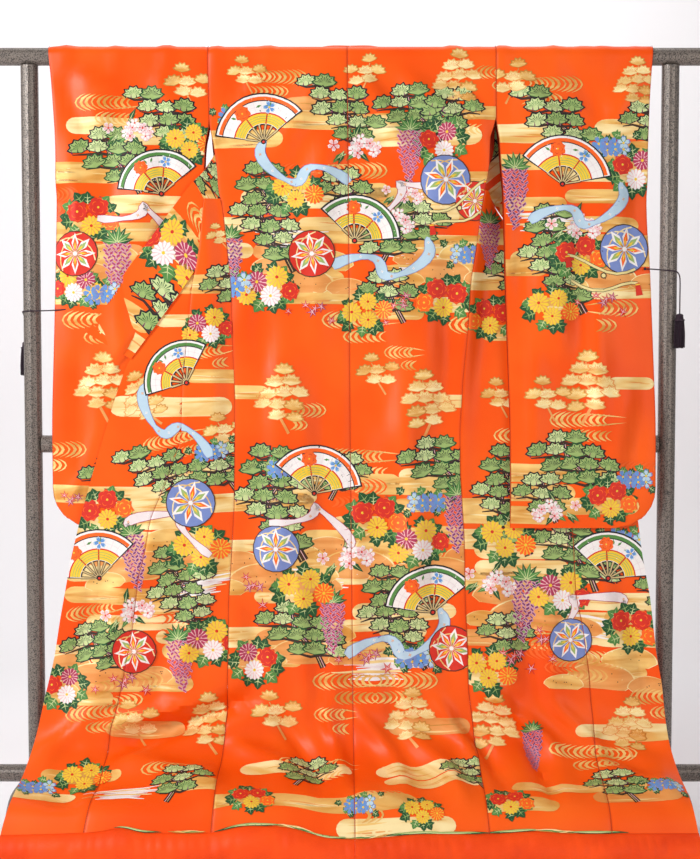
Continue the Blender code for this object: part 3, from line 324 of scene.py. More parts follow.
# Tie cords: route points from the sleeve to the top of the tassel.
CORD_RIGHT = rows(None, """
    640 -23.2 1230, 648 -21.7 1229.9, 660 -21.1 1229.2, 676 -20.8 1228, 692 -20.7 1226.8, 700 -20.8 1225.8,
    707 -22.4 1223, 711.2 -24.6 1215, 712.4 -25.5 1200, 712.4 -25.6 1170, 712.4 -25.6 1134""")
CORD_LEFT = rows(None, """
    -585 -33.2 1144, -595 -32 1143.8, -602 -30.7 1143.4, -611 -28.5 1143, -620 -26.2 1142.4, -636 -23.3 1141.4,
    -648 -21.7 1140.6, -664 -21 1140.1, -680 -20.7 1139.8, -692 -20.7 1139.6, -702.4 -18 1139.3, -710 -10.5 1138.8,
    -712.9 0 1137.8, -713.6 10 1134, -713.2 19 1126, -712.6 24.5 1112, -712.4 25.6 1095, -712.4 25.6 1074""")
# Middles of the small knots that end the cords where they are sewn to the sleeves.
KNOT_RIGHT = (0.6362, -0.026, 1.2301)
KNOT_LEFT = (-0.5812, -0.0353, 1.1441)
KNOT_R = 0.0033

# Creases of the back and fronts that are finer than the main folds.
BODY_CREASES = rows(Fold, """
    -35 1640 -215 1430 30 2.2, 20 1620 -110 1330 30 1.8, 65 1600 235 1370 30 2.4, 100 1450 250 1210 26 -1.2,
    -85 1380 -225 1120 30 2.2, 20 1270 190 1000 34 2.4, -190 1060 -60 810 34 2.4, 150 1000 50 720 32 2.4,
    -45 800 -190 560 30 2.4, 205 800 100 520 30 2.2, 115 1645 235 1545 12 2.2, 150 1668 292 1590 11 -2,
    50 1655 205 1500 14 -1.8, 20 1650 120 1480 13 2, -100 1668 -180 1545 12 -1.8, -50 1660 -150 1470 13 2,
    -190 1655 -262 1555 12 1.8, -220 1650 -285 1500 10 -1.4, 235 1640 300 1500 12 1.6, -205 1420 -180 930 18 -2,
    -60 1500 -70 1060 20 2.2, 60 1330 75 900 17 -2, 185 1430 170 1040 18 1.8, 215 1180 205 760 15 -1.8,
    -165 1010 -150 620 16 2, -65 930 -55 520 18 -2.2, 125 900 145 480 16 2.2, 25 820 12 380 14 2,
    190 700 215 330 15 -2.4, -215 680 -205 300 15 -2.2, -110 560 -95 250 14 2.4, 75 520 100 220 14 -2.6,
    -30 480 -40 240 13 2, -300 640 -385 330 17 2.6, -350 560 -430 290 14 -2.4, -470 600 -560 310 18 2.4,
    -540 560 -620 300 14 -2, -420 700 -455 520 13 1.8, 300 640 350 320 17 2.6, 365 600 400 300 14 -2.6,
    430 560 445 300 13 2.2, 540 600 590 300 17 2.6, 600 520 655 300 13 -2.2, -215 292 -540 180 12 -4,
    -300 300 -580 215 13 3.8, -330 238 -478 236 10 -3.6, -490 170 -280 150 11 4.2, -420 158 -620 150 10 -3.4,
    -560 260 -670 170 12 3.6, -250 200 -130 165 12 3.6, -160 260 -60 150 11 -3.8, -60 280 -10 150 10 3.4,
    20 262 120 150 12 4, 85 270 196 215 10 -3.4, 130 205 240 140 11 3.6, 190 290 275 170 11 3.8,
    235 250 330 150 10 -3.6, 300 318 462 172 12 4.4, 352 300 420 140 11 -4, 440 290 560 170 12 4,
    500 200 640 160 10 -3.6, 545 222 670 202 11 -3.2, 570 170 680 140 10 3.4, -680 150 -560 135 10 -3,
    0 140 110 128 9 2.8""")
SLEEVE_CREASES = rows(Fold, """
    -590 1620 -400 1380 32 2.4, -370 1480 -560 1210 34 2.2, -600 1230 -420 980 34 2.4, -380 1020 -540 800 32 2.2,
    350 1610 540 1390 32 2.4, 600 1450 420 1200 34 2.2, 380 1180 570 960 34 2.4, 590 950 420 770 32 2.2,
    -615 1640 -560 1500 13 -2.2, -590 1655 -480 1590 12 2.4, -420 1650 -360 1540 12 2, -500 1600 -530 1300 18 -2.4,
    -600 1500 -605 1120 14 2, -400 1480 -405 1180 16 -2, -500 1240 -490 900 16 2.4, -590 1050 -580 780 13 -2.2,
    -540 860 -600 720 13 2.2, 360 1640 430 1560 12 2.2, 620 1640 560 1540 12 2.4, 480 1655 540 1560 12 -2,
    380 1500 372 1150 16 -2.2, 460 1420 452 1050 15 2.6, 610 1480 618 1140 14 -2, 530 1200 540 860 15 2.4,
    400 1080 392 780 14 2, 600 980 570 800 14 2.4, 630 900 600 740 12 -2, 450 850 470 720 13 -2.2""")

# ---- Shapes of the hanging cloth, worked out on whole arrays at once ----


def given_sizes():
    return bpy.context.scene.kimono_sizes


def ease(value):
    value = np.clip(value, 0.0, 1.0)
    return value * value * (3 - 2 * value)


def along(rows, at):
    """The second column of rows at values of the first, by straight lines between the rows."""
    table = np.array(sorted((row[0], row[1]) for row in rows))
    return np.interp(at, table[:, 0], table[:, 1])


def smooth_along(rows, at, reach=0.012):
    steps = (-1.0, -0.5, 0.0, 0.5, 1.0)
    return sum(along(rows, at + step * reach) for step in steps) / len(steps)


def unit(vectors):
    return vectors / np.linalg.norm(vectors, axis=-1, keepdims=True)


def curve_through(points, share):
    """Points on the smooth curve through points, share from 0 to 1 along its list."""
    points = np.asarray(points, float)
    last = len(points) - 1
    place = np.clip(share, 0, 1) * last
    i = np.minimum(place.astype(int), last - 1)
    t = (place - i)[..., None]
    p0, p1, p2, p3 = (points[np.clip(i + k, 0, last)] for k in (-1, 0, 1, 2))
    return 0.5 * (2 * p1 + (p2 - p0) * t + (2 * p0 - 5 * p1 + 4 * p2 - p3) * t**2 + (3 * p1 - p0 - 3 * p2 + p3) * t**3)


def fold_height(folds, x, z, wide=1.0):
    """The height of all folds: each is a soft bar that fades at its ends."""
    total = np.zeros(np.broadcast(x, z).shape)
    for fold in folds:
        run = np.array((fold.x1 - fold.x0, fold.z1 - fold.z0))
        share = ((x - fold.x0) * run[0] + (z - fold.z0) * run[1]) / (run @ run)
        on = np.clip(share, 0, 1)
        side = np.hypot(x - fold.x0 - on * run[0], z - fold.z0 - on * run[1]) / (fold.width * wide)
        fade = ease((share + 0.25) / 0.5) * ease((1.25 - share) / 0.5)
        total += fold.height * np.exp(-side * side) * fade
    return total


def fall_line(steps=24):
    """Drop, y and z along the body cloth's side view: over the rail, then down and forward."""
    turn = np.arange(8) / 8 * pi / 2
    over = np.stack((-WRAP_R * np.sin(turn), RAIL_Z + WRAP_R * np.cos(turn)), axis=1)
    profile = [(fall.y, fall.z) for fall in FALL]
    down = curve_through(profile, np.linspace(0, 1, steps * (len(FALL) - 1) + 1))
    line = np.concatenate((over, down))
    drop = np.concatenate(([0.0], np.cumsum(np.hypot(*np.diff(line, axis=0).T))))
    return drop, line[:, 0], line[:, 1]


DROPS, FALL_Y, FALL_Z = fall_line()


def depth_at(drop):
    return np.interp(drop, DROPS, FALL_Y)


def height_at(drop):
    return np.interp(drop, DROPS, FALL_Z)


def drop_at(z):
    return np.interp(z, FALL_Z[::-1], DROPS[::-1])


def body_point(x, drop, inward):
    """The body cloth's outer face, moved inward along the side view's normal."""
    step = 0.002
    y, z = depth_at(drop), height_at(drop)
    dy, dz = depth_at(drop + step) - depth_at(drop - step), height_at(drop + step) - height_at(drop - step)
    size = np.hypot(dy, dz)
    lift = fold_height(BODY_FOLDS, x, z) * ease((RAIL_Z - 0.02 - z) / 0.12) - inward
    crease = given_sizes().crease * fold_height(BODY_CREASES, x, z, CREASE_SPREAD)
    crease = np.maximum(crease, BODY_CREASE_FLOOR - 0.02 * ease((0.5 - z) / 0.05))
    lift = lift + crease * ease((RAIL_Z + 0.005 - z) / 0.08) * free_cloth(x, z) + bunch(x, z)
    return np.stack((x + 0 * y, y + dz / size * lift, z - dy / size * lift), axis=-1)


def bunch(x, z):
    """How far the silk stands off the rail where it bunches, clear of the neck."""
    waves = 0.45 * np.sin(x * 61 + 0.6) + 0.35 * np.sin(x * 113 + 2.0) + 0.2 * np.sin(x * 29)
    return BUNCH_HEIGHT * np.maximum(waves, 0) * ease((np.abs(x) - 0.12) / 0.05) * ease((z - 1.6) / 0.08)


def free_cloth(x, z):
    """Where the body cloth lies on nothing close, so that fine creases have room."""
    low = ease((0.72 - z) / 0.08)
    between = ease((x - along(SIDE_LEFT, z)) / 0.02) * ease((along(SIDE_RIGHT, z) - x) / 0.02)
    return np.maximum(low, between)


def hem_z(x):
    return smooth_along(HEM, x, 0.02)


def hanging_face(left, right, offset):
    """The face of a hanging panel between two edge lines, by its drop along the body's fall line."""
    bottom = drop_at(HEM_TOP_Z)

    def face(u, v):
        x, drop = 0.0, v
        for _ in range(2):
            z = height_at(drop)
            x = left(z) + (right(z) - left(z)) * u
            change = drop_at(hem_z(x) + SEAM) - bottom
            drop = v + change * np.clip(1 - (bottom - v) / HEM_STRETCH, 0, 1)
        return body_point(x, drop, offset(x, z))

    return face


def edge_line(rows, shift=0.0):
    return lambda z: smooth_along(rows, z) + shift


def no_offset(x, z):
    return 0.0


def front_offset(z, depth, turn):
    body_y = depth_at(drop_at(z))
    return (smooth_along(depth, z, 0.03) - body_y) * ease(turn) * ease((z - 0.36) / 0.1)


def okumi_offset_left(x, z):
    return front_offset(z, FRONT_DEPTH_LEFT, (edge_line(SIDE_LEFT)(z) - x) / FRONT_TURN_LEFT)


def offset_right(x, z):
    return front_offset(z, FRONT_DEPTH_RIGHT, (x - edge_line(SIDE_RIGHT)(z)) / FRONT_TURN_RIGHT)


def tuck_offset_left(x, z):
    """The left front panel is raised along its tuck, over the collar and the okumi."""
    across = ease((edge_line(SIDE_LEFT)(z) - x) / FRONT_TURN_LEFT)
    fade = ease((z - TUCK_FLAT_Z) / (TUCK_END_Z - TUCK_FLAT_Z))
    return okumi_offset_left(x, z) - TUCK_LIFT * across * fade


def okumi_inner_left(z):
    under = TUCK_UNDER * ease((z - TUCK_END_Z) / 0.05)
    return edge_line(TUCK_LEFT, -SEAM)(z) + under


def shoulder_face(inner, outer, z_low):
    """A front's upper end: from the top of the rail over its far side to a narrow lower tip."""
    arc = pi / 2 * WRAP_R

    def face(u, v):
        turn = np.minimum(v, arc) / WRAP_R
        z = np.where(v < arc, RAIL_Z + WRAP_R * np.cos(turn), RAIL_Z - (v - arc))
        y = np.where(v < arc, WRAP_R * np.sin(turn), smooth_along(SHOULDER_DEPTH, z))
        x = inner(z) + (outer(z) - inner(z)) * u
        lift = bunch(x, z)
        return np.stack((x, y + lift * np.sin(turn), z + lift * np.cos(turn)), axis=-1)

    return face, arc + RAIL_Z - z_low


SLEEVE_ARC = pi * WRAP_R
SLEEVE_RUN = RAIL_Z - SLEEVE_BOTTOM_Z


def sleeve_face(inner_rows, outer_rows, near, far, side):
    """A sleeve's one strip of cloth, by its place from the middle of the rail's top: more than nought
    down the near wall, less down the far wall. The walls meet along the bottom and, below the cuff,
    along the outer side."""

    def face(u, v):
        over = np.abs(v) < SLEEVE_ARC / 2
        turn = np.clip(v / WRAP_R, -pi / 2, pi / 2)
        wall_side = np.where(v > 0, -1.0, 1.0)
        z = np.where(over, RAIL_Z + WRAP_R * np.cos(turn), RAIL_Z - (np.abs(v) - SLEEVE_ARC / 2))
        over_corner = np.clip((SLEEVE_BOTTOM_Z + SLEEVE_CORNER_R - z) / SLEEVE_CORNER_R, 0, 1)
        cut = SLEEVE_CORNER_R * (1 - np.sqrt(np.maximum(0.0, 1 - over_corner**2)))
        inner = smooth_along(inner_rows, z)
        outer = smooth_along(outer_rows, z, 0.03) - side * cut
        x = inner + (outer - inner) * u
        near_y, far_y = smooth_along(near, z, 0.03), smooth_along(far, z, 0.03)
        half, shut = np.abs(far_y - near_y) / 2, CLOTH_T + GAP
        closed_below_cuff = ease((RAIL_Z - CUFF_OPEN - z) / 0.05)
        open_side = 1 - closed_below_cuff * (1 - ease(np.abs(outer - x) / 0.05))
        room = open_side * ease((z - SLEEVE_BOTTOM_Z) / 0.05)
        half = shut + (half - shut) * room
        settle = ease((RAIL_Z - 0.02 - z) / 0.12) * ease((np.abs(x) - 0.33) / 0.05)
        lift = fold_height(SLEEVE_FOLDS, x, z) * settle + crease_height(x, z, wall_side)
        lift = lift * room
        y = np.where(over, -WRAP_R * np.sin(turn), (near_y + far_y) / 2 + wall_side * half - lift)
        far_wall = (wall_side > 0) & ~over
        y = np.where(far_wall, (near_y + far_y) / 2 + half + crease_height(-x, z, wall_side) * room * 0.7, y)
        lift = bunch(x, z)
        return np.stack((x, y - lift * np.sin(turn), z + lift * np.cos(turn)), axis=-1)

    return face


def crease_height(x, z, wall_side):
    fade = ease((RAIL_Z - 0.005 - z) / 0.06) * ease((np.abs(x) - 0.335) / 0.03)
    covered = np.where((wall_side < 0) & (x < 0), ease((along(FRONT_EDGE_LEFT, z) - 0.01 - x) / 0.02), 1.0)
    fade = fade * np.where(z > 1.25, 1.0, covered) * given_sizes().crease * 0.9
    return np.maximum(fold_height(SLEEVE_CREASES, x, z, CREASE_SPREAD) * fade, SLEEVE_CREASE_FLOOR)


def collar_face(stations, hung_depth, z_hung):
    """A collar half's middle surface: u from its sewn edge to its free edge, v along it."""
    seams = [station.seam for station in stations]
    middles = [station.middle for station in stations]
    edges = [station.edge for station in stations]

    def face(u, v):
        seam, middle, edge = (curve_through(line, v) for line in (seams, middles, edges))
        w = u[..., None]
        point = seam * (1 - w) * (1 - 2 * w) + middle * 4 * w * (1 - w) + edge * w * (2 * w - 1)
        x, y, z = np.moveaxis(point, -1, 0)
        hung = ease((z_hung - z) / 0.05)
        y = y + (hung_depth(x, z) - y) * hung
        return np.stack((x, y, z), axis=-1)

    return face


def hung_y(x, z, offset):
    return body_point(x, drop_at(z), offset)[..., 1]


def collar_depth_left(x, z):
    under_tuck = CLOTH_T + 2 * GAP + COLLAR_T / 2 + 0.001 * ease((z - 1.24) / 0.08)
    return hung_y(x, z, tuck_offset_left(x, z) + under_tuck)


def collar_depth_right(x, z):
    clear = GAP + COLLAR_T / 2 + 0.0025 * ease((z - 1.29) / 0.04)
    return hung_y(x, z, offset_right(x, z)) - clear


# ---- A panel: a grid of points with its normals, and the ways to lay things on it ----


class Panel:
    """A cloth panel's outer face as a grid. across and down are its own flat measures in metres, or
    for a hanging panel the world's x, and its drop from the rail. Below low the rows are closer."""

    def __init__(self, name, face, width, start, end, sides=(0.0, CLOTH_T), scale=1.0, flip=False, free=(), low=None):
        sizes = given_sizes()
        self.name = name
        self.sides = sides
        near_seam, edge = list(SEAM_COLUMNS), SEAM_COLUMNS[-1]
        count = max(2, round((width - 2 * edge) / sizes.cell))
        middle = [edge + (width - 2 * edge) * i / count for i in range(1, count)]
        self.us = np.array(near_seam + middle + [width - d for d in reversed(near_seam)]) / width
        rows = [start]
        while rows[-1] < end - 0.006:
            over_rail = abs(rows[-1]) < RAIL_REACH
            step = RAIL_ROW if over_rail else sizes.cell * (1.0 if low and rows[-1] > low else ROW_STRETCH)
            rows.append(min(end, rows[-1] + step))
        rows[-1] = end
        self.vs = np.array(rows)
        u, v = np.meshgrid(self.us, self.vs)
        points = face(u, v / scale)
        step = PROBE / width
        across = face(np.minimum(u + step, 1), v / scale) - face(np.maximum(u - step, 0), v / scale)
        down = face(u, np.minimum(v + PROBE, end) / scale) - face(u, np.maximum(v - PROBE, start) / scale)
        across = unit(across)
        normals = unit(np.cross(down, across) * (-1 if flip else 1))
        left = np.ones(u.shape) if "left" in free else u * width
        right = np.ones(u.shape) if "right" in free else (1 - u) * width
        edge = np.minimum(left, right)
        dip = sizes.seam_dip * np.exp(-((edge / sizes.seam_reach) ** 2))
        lean = 2 * edge / sizes.seam_reach**2 * dip * np.where(left < right, 1, -1)
        self.points = points - normals * dip[..., None]
        self.normals = unit(normals - across * lean[..., None])
        self.flat_width = width
        self.sewn = [side not in free for side in ("left", "right")]
        if scale == 1.0:
            self.left, self.right = self.points[:, 0, 0], self.points[:, -1, 0]
        else:
            self.left, self.right = np.zeros(len(rows)), np.full(len(rows), width)

    def sides_at(self, drop):
        return np.interp(drop, self.vs, self.left), np.interp(drop, self.vs, self.right)

    def share_at(self, x, drop):
        left, right = self.sides_at(drop)
        return (x - left) / (right - left)

    def painted_seam_shade(self):
        """Painted seam shade: two long triangles of a dark orange down each sewn side."""
        thin, top, end = SEAM_SHADE_WIDTH / self.flat_width, self.vs[0], self.vs[-1]
        sides = [(a, b) for a, b, sewn in zip((0.0, 1 - thin), (thin, 1.0), self.sewn) if sewn]
        return np.array([corners for a, b in sides for corners in (
            ((a, top), (b, top), (b, end)), ((a, top), (b, end), (a, end)))]).reshape(-1, 3, 2)

    def painted_seam_shade_tags(self):
        return np.array([(THREAD_NAMES.index("seam"), SEAM_SHADE_LAYER)] * (2 * sum(self.sewn))).reshape(-1, 2)

    def cell_of(self, spots):
        """The grid cell of each triangle, and each corner's shares across and down it."""
        centre = spots.mean(axis=1)
        j = np.clip(np.searchsorted(self.us, centre[:, 0], side="right") - 1, 0, len(self.us) - 2)[:, None]
        i = np.clip(np.searchsorted(self.vs, centre[:, 1], side="right") - 1, 0, len(self.vs) - 2)[:, None]
        s = (spots[..., 0] - self.us[j]) / (self.us[j + 1] - self.us[j])
        t = (spots[..., 1] - self.vs[i]) / (self.vs[i + 1] - self.vs[i])
        return i, j, s, t

    def twist(self, i, j):
        """How far each cell is from flat."""
        grid = self.points
        return np.linalg.norm(grid[i, j] - grid[i + 1, j] + grid[i + 1, j + 1] - grid[i, j + 1], axis=-1)

    def on_face(self, spots, lift):
        """Places of triangles' corners on the panel's own flat facets, lifted, and their normals."""
        i, j, s, t = self.cell_of(spots)
        s, t = s[..., None], t[..., None]
        over = s >= t

        def mix(grid):
            a, b, c, d = grid[i, j], grid[i + 1, j], grid[i + 1, j + 1], grid[i, j + 1]
            return np.where(over, a + s * (d - a) + t * (c - d), a + t * (b - a) + s * (c - b))

        normal = mix(self.normals)
        points = mix(self.points) + normal * (np.asarray(lift)[:, None, None] - self.sides[0])
        return points, unit(normal)

    def build(self, outer, inner):
        """The closed cloth wall: its outer face in the first material, its back and edges in the
        second."""
        rows, columns = self.points.shape[:2]
        front = self.points - self.normals * self.sides[0]
        back = self.points - self.normals * self.sides[1]
        points = np.concatenate((front.reshape(-1, 3), back.reshape(-1, 3)))
        grid = np.arange(rows * columns).reshape(rows, columns)
        a, b, c, d = grid[:-1, :-1], grid[1:, :-1], grid[1:, 1:], grid[:-1, 1:]
        face = np.concatenate([np.stack(corner, axis=-1).reshape(-1, 3) for corner in ((a, b, c), (a, c, d))])
        rear = face[:, (0, 2, 1)] + rows * columns
        rim = np.concatenate((grid[0, :], grid[1:, -1], grid[-1, -2::-1], grid[-2:0:-1, 0]))
        following = np.roll(rim, -1)
        edge = np.concatenate((
            np.stack((rim, following, following + rows * columns), axis=-1),
            np.stack((rim, following + rows * columns, rim + rows * columns), axis=-1),
        ))
        faces = np.concatenate((face, rear, edge))
        if float(np.mean(np.sum(grid_normals(self.points) * self.normals, axis=-1))) < 0:
            faces = faces[:, ::-1]
        marks = np.zeros(len(faces), int)
        marks[len(face):] = 1
        obj = mesh_object(f"cloth_{self.name}", points, faces, (outer, inner), marks)
        mark_sharp(obj, 50)
        return obj


def grid_normals(points):
    return unit(np.cross(np.gradient(points, axis=0), np.gradient(points, axis=1)))


def add_object(name, data):
    """A piece in the rack's body."""
    obj = bpy.data.objects.new(name, data)
    bpy.context.scene.collection.objects.link(obj)
    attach(obj, "root")
    return obj


def mesh_object(name, points, faces, finishes, marks=None):
    """A smooth mesh object from arrays in the rack's frame, carried to its place."""
    mesh = bpy.data.meshes.new(name)
    points = np.asarray(points, float) + (0.0, RACK_Y, 0.0)
    mesh.from_pydata(points.tolist(), [], np.asarray(faces).tolist())
    for finish in finishes:
        mesh.materials.append(finish)
    if marks is not None:
        mesh.polygons.foreach_set("material_index", np.asarray(marks, dtype=np.int32))
    mesh.shade_smooth()
    mesh.update()
    return add_object(name, mesh)


def mark_sharp(obj, degrees):
    obj.data.set_sharp_from_angle(angle=radians(degrees))


# ---- Woven figures: flat triangles in their own metres, each with a thread and a layer ----


class Figure:
    def __init__(self):
        self.corners, self.tags = [], []

    def triangle(self, a, b, c, name, layer):
        self.corners.append((a, b, c))
        self.tags.append((THREAD_NAMES.index(name), layer))

    def fan(self, outline, name, layer, centre=None):
        """A filled shape, from its centre to each side of its outline."""
        if centre is None:
            centre = tuple(sum(p[i] for p in outline) / len(outline) for i in (0, 1))
        for a, b in zip(outline, outline[1:] + outline[:1]):
            self.triangle(centre, a, b, name, layer)

    def band(self, path, widths, name, layer):
        """A stripe along a path, as wide at each point as widths says."""
        sides = []
        for i, (x, y) in enumerate(path):
            x0, y0 = path[max(i - 1, 0)]
            x1, y1 = path[min(i + 1, len(path) - 1)]
            size = hypot(x1 - x0, y1 - y0) or 1e-9
            half = (widths[i] if isinstance(widths, (list, tuple)) else widths) / 2
            nx, ny = -(y1 - y0) / size * half, (x1 - x0) / size * half
            sides.append(((x + nx, y + ny), (x - nx, y - ny)))
        for (a, b), (c, d) in zip(sides, sides[1:]):
            self.triangle(a, b, c, name, layer)
            self.triangle(b, d, c, name, layer)

    def dart(self, a, b, wide, name, layer):
        """A long thin triangle from a point to a base."""
        size = hypot(b[0] - a[0], b[1] - a[1]) or 1e-9
        nx, ny = -(b[1] - a[1]) / size * wide / 2, (b[0] - a[0]) / size * wide / 2
        self.triangle(a, (b[0] + nx, b[1] + ny), (b[0] - nx, b[1] - ny), name, layer)

    def arrays(self):
        return np.array(self.corners, float), np.array(self.tags, float)

    def put(self, other, x, y, size=1.0, turn=0.0, mirror=False, layer=0):
        """A copy of another figure."""
        corners, tags = other
        c, s = cos(turn), sin(turn)
        px = corners[..., 0] * (-size if mirror else size)
        py = corners[..., 1] * size
        moved = np.stack((x + px * c - py * s, y + px * s + py * c), axis=-1)
        self.corners.extend(map(tuple, moved.tolist()))
        self.tags.extend((tags + (0, layer)).tolist())


def figure(draw):
    """Makes a function that draws on a figure into one that gives the arrays of a new one."""

    def drawn(*given, **named):
        made = Figure()
        draw(made, *given, **named)
        return made.arrays()

    return drawn


def seeded(draw):
    """As figure, for a function that takes its own random draws in place of a seed."""

    def drawn(made, seed, *given, **named):
        draw(made, random.Random(seed), *given, **named)

    return figure(drawn)


def spoke(turn, reach, wide=1.0):
    """A point at an angle in degrees and a distance."""
    return reach * wide * cos(radians(turn)), reach * sin(radians(turn))


def circle(radius, count, x=0.0, y=0.0, squash=1.0):
    turns = [2 * pi * k / count for k in range(count)]
    return [(x + radius * cos(t), y + radius * squash * sin(t)) for t in turns]


def taper(path, full, tips=0.15):
    """Widths that swell from a fine tip to the middle and back."""
    last = max(len(path) - 1, 1)
    return [full * (tips + (1 - tips) * sin(pi * i / last)) for i in range(len(path))]


def ring_part(made, r0, r1, a0, a1, name, layer, steps=8):
    """Part of a ring between two radii and two angles in degrees."""
    for k in range(steps):
        t0, t1 = (a0 + (a1 - a0) * (k + j) / steps for j in (0, 1))
        a, b, c, d = spoke(t0, r0), spoke(t0, r1), spoke(t1, r1), spoke(t1, r0)
        made.triangle(a, b, c, name, layer)
        if r0:
            made.triangle(a, c, d, name, layer)


@seeded
def haze(made, pick, span, tall, name="gold"):
    """A long bank of golden haze: a tongue with round ends, with streaks of paler and deeper gold that are painted
    sheen.
    """
    half, end = span / 2, tall * 0.62
    places = [-half + end * (1 - cos(pi / 2 * i / 4)) for i in range(5)]
    count = max(2, round((span - 2 * end) / 0.03))
    places += [-half + end + (span - 2 * end) * i / count for i in range(1, count)]
    places += [-x for x in places[4::-1]]
    swell = pick.uniform(0, 6.28)
    rows = []
    for x in places:
        into = min(1.0, max(0.0, (abs(x) - (half - end)) / end))
        h = tall / 2 * sqrt(1 - into * into)
        rows.append((x, h * (1 + 0.07 * sin(x * 24 + swell)) + 1e-5, -h * (1 + 0.07 * sin(x * 19 - swell)) - 1e-5))
    for (x0, u0, l0), (x1, u1, l1) in zip(rows, rows[1:]):
        made.triangle((x0, l0), (x1, l1), (x1, u1), name, 0)
        made.triangle((x0, l0), (x1, u1), (x0, u0), name, 0)
    # Painted sheen: streaks of a paler gold for highlights and of a deeper gold for shade.
    other = {"gold": ("pale_gold", "amber"), "pale_gold": ("gold", "amber"), "amber": ("pale_gold", "deep_gold")}[name]
    for k in range(int(2 + span * 10)):
        x0 = pick.uniform(-half * 0.85, half * 0.4)
        x1 = min(x0 + pick.uniform(0.05, 0.12), half * 0.86)
        y0 = pick.uniform(-0.34, 0.24) * tall
        y1 = min(y0 + pick.uniform(-0.12, 0.16) * tall, 0.38 * tall)
        path = [(x0 + (x1 - x0) * i / 3, y0 + (y1 - y0) * ease_one(i / 3)) for i in range(4)]
        made.band(path, taper(path, pick.uniform(0.002, 0.005), 0.05), other[k % 3 > 1], 1 + k % 2)


def ease_one(t):
    return t * t * (3 - 2 * t)


@seeded
def ripples(made, pick, rings, name="gold", step=0.0105):
    """Rows of nested crescents, as running water is drawn, with long fine tips."""
    for row, (tall, shift) in enumerate(((0.017, 0.0), (0.013, 0.036))):
        for i in range(rings - row * 3):
            x = shift + i * step * pick.uniform(0.98, 1.02)
            h = tall * (1 - 0.4 * i / rings)
            y = -row * 0.031
            path = [(x + h * (1.25 * t * t - 1.0), y + h * t) for t in (-1, -0.72, -0.4, 0.0, 0.4, 0.72, 1)]
            made.band(path, taper(path, 0.0062 if i % 3 else 0.0036, 0.06), name, 2)
    tail = rings * step
    for j in (-1, 1):
        line = [(tail * (0.5 + 0.25 * k), j * 0.0125 * (1 - 0.2 * k)) for k in range(4)]
        made.band(line, taper(line, 0.0026, 0.05), name, 2)


@seeded
def cushion(made, pick, reach, tones, teeth=6):
    """A half-round cushion of pine needles with a toothed dark edge."""
    edge, main, vein = tones
    rim = [1.0 if k % 2 else pick.uniform(0.74, 0.82) for k in range(2 * teeth + 1)]
    for name, grow, layer in ((edge, 1.0, 0), (main, 0.84, 1)):
        outline = [spoke(-12 + 204 * k / (2 * teeth), reach * share * grow, 1.22) for k, share in enumerate(rim)]
        outline.append((0.0, -reach * 0.42 * grow))
        made.fan(outline, name, layer, (0.0, 0.0))
    for k in range(2 * teeth - 1):
        turn = 6 + 168 * k / (2 * teeth - 2)
        outer = reach * (0.5 if k % 2 else 0.74)
        made.dart(spoke(turn, reach * 0.1, 1.22), spoke(turn, outer, 1.22), reach * 0.085, vein, 2)
    if edge == "black":
        for k in range(4):
            x = reach * (k - 1.5) * 0.5
            made.dart((x, reach * 0.1), (x * 1.1, -reach * 0.3), reach * 0.12, "purple" if k % 2 else edge, 3)


LEAF_TONES = (
    ("black", "mint", "pine"), ("black", "leaf", "pine"), ("black", "mint", "green"), ("pine", "leaf", "black"),
)
GOLD_TONES = (("amber", "pale_gold", "gold"), ("gold", "pale_gold", "amber"), ("deep_gold", "gold", "pale_gold"))


@figure
def pine(made, seed, rows, golden=False, slant=0.0, reach=0.0235):
    """A pine in layered boughs on a crooked limb. rows gives the start and number of each row's cushions."""
    pick = random.Random(seed)
    gap = reach * 1.28
    top = gap * (len(rows) - 1) / 2
    trunk = []
    for r, (start, number) in enumerate(rows):
        middle = (start + (number - 1) / 2) * reach * 1.75 + slant * (top - r * gap)
        trunk.append((middle + pick.uniform(-0.01, 0.01), top - r * gap - 0.006))
    trunk.append((trunk[-1][0] + 0.016, trunk[-1][1] - 0.03))
    wide = [0.005 + 0.0016 * i for i in range(len(trunk))]
    if golden:
        made.band(trunk, [w * 0.5 for w in wide], "amber", 0)
    else:
        made.band(trunk, [w + 0.003 for w in wide], "black", 0)
        made.band(trunk, wide, "bark", 1)
        for side in (-0.28, 0.26):
            made.band([(x + w * side, y) for (x, y), w in zip(trunk, wide)], 0.0013, "pink" if side > 0 else "sand", 2)
    count = 0
    for r, (start, number) in enumerate(rows):
        y = top - r * gap
        shift = slant * y
        if not golden:
            left, right = ((start - 0.4) * reach * 1.75 + shift, (start + number - 0.6) * reach * 1.75 + shift)
            limb = [(left + (right - left) * i / 5, y - reach * 0.44 + 0.0032 * sin(i * 2.3 + seed + r))
                    for i in range(6)]
            made.band(limb, taper(limb, 0.0062, 0.3), "black", 3)
            made.band(limb, taper(limb, 0.0034, 0.2), "bark", 4)
        for k in range(number):
            tone = (GOLD_TONES if golden else LEAF_TONES)[pick.randrange(3 if golden else 4)]
            leaf = cushion(seed * 31 + count, reach * pick.uniform(0.92, 1.08), tone)
            x = (start + k) * reach * 1.75 + shift + pick.uniform(-0.003, 0.003)
            made.put(leaf, x, y + pick.uniform(-0.004, 0.004), 1.0,
                     -0.16 * (k - (number - 1) / 2) + pick.uniform(-0.1, 0.1), pick.random() < 0.5,
                     5 + 3 * (count % 7))
            count += 1


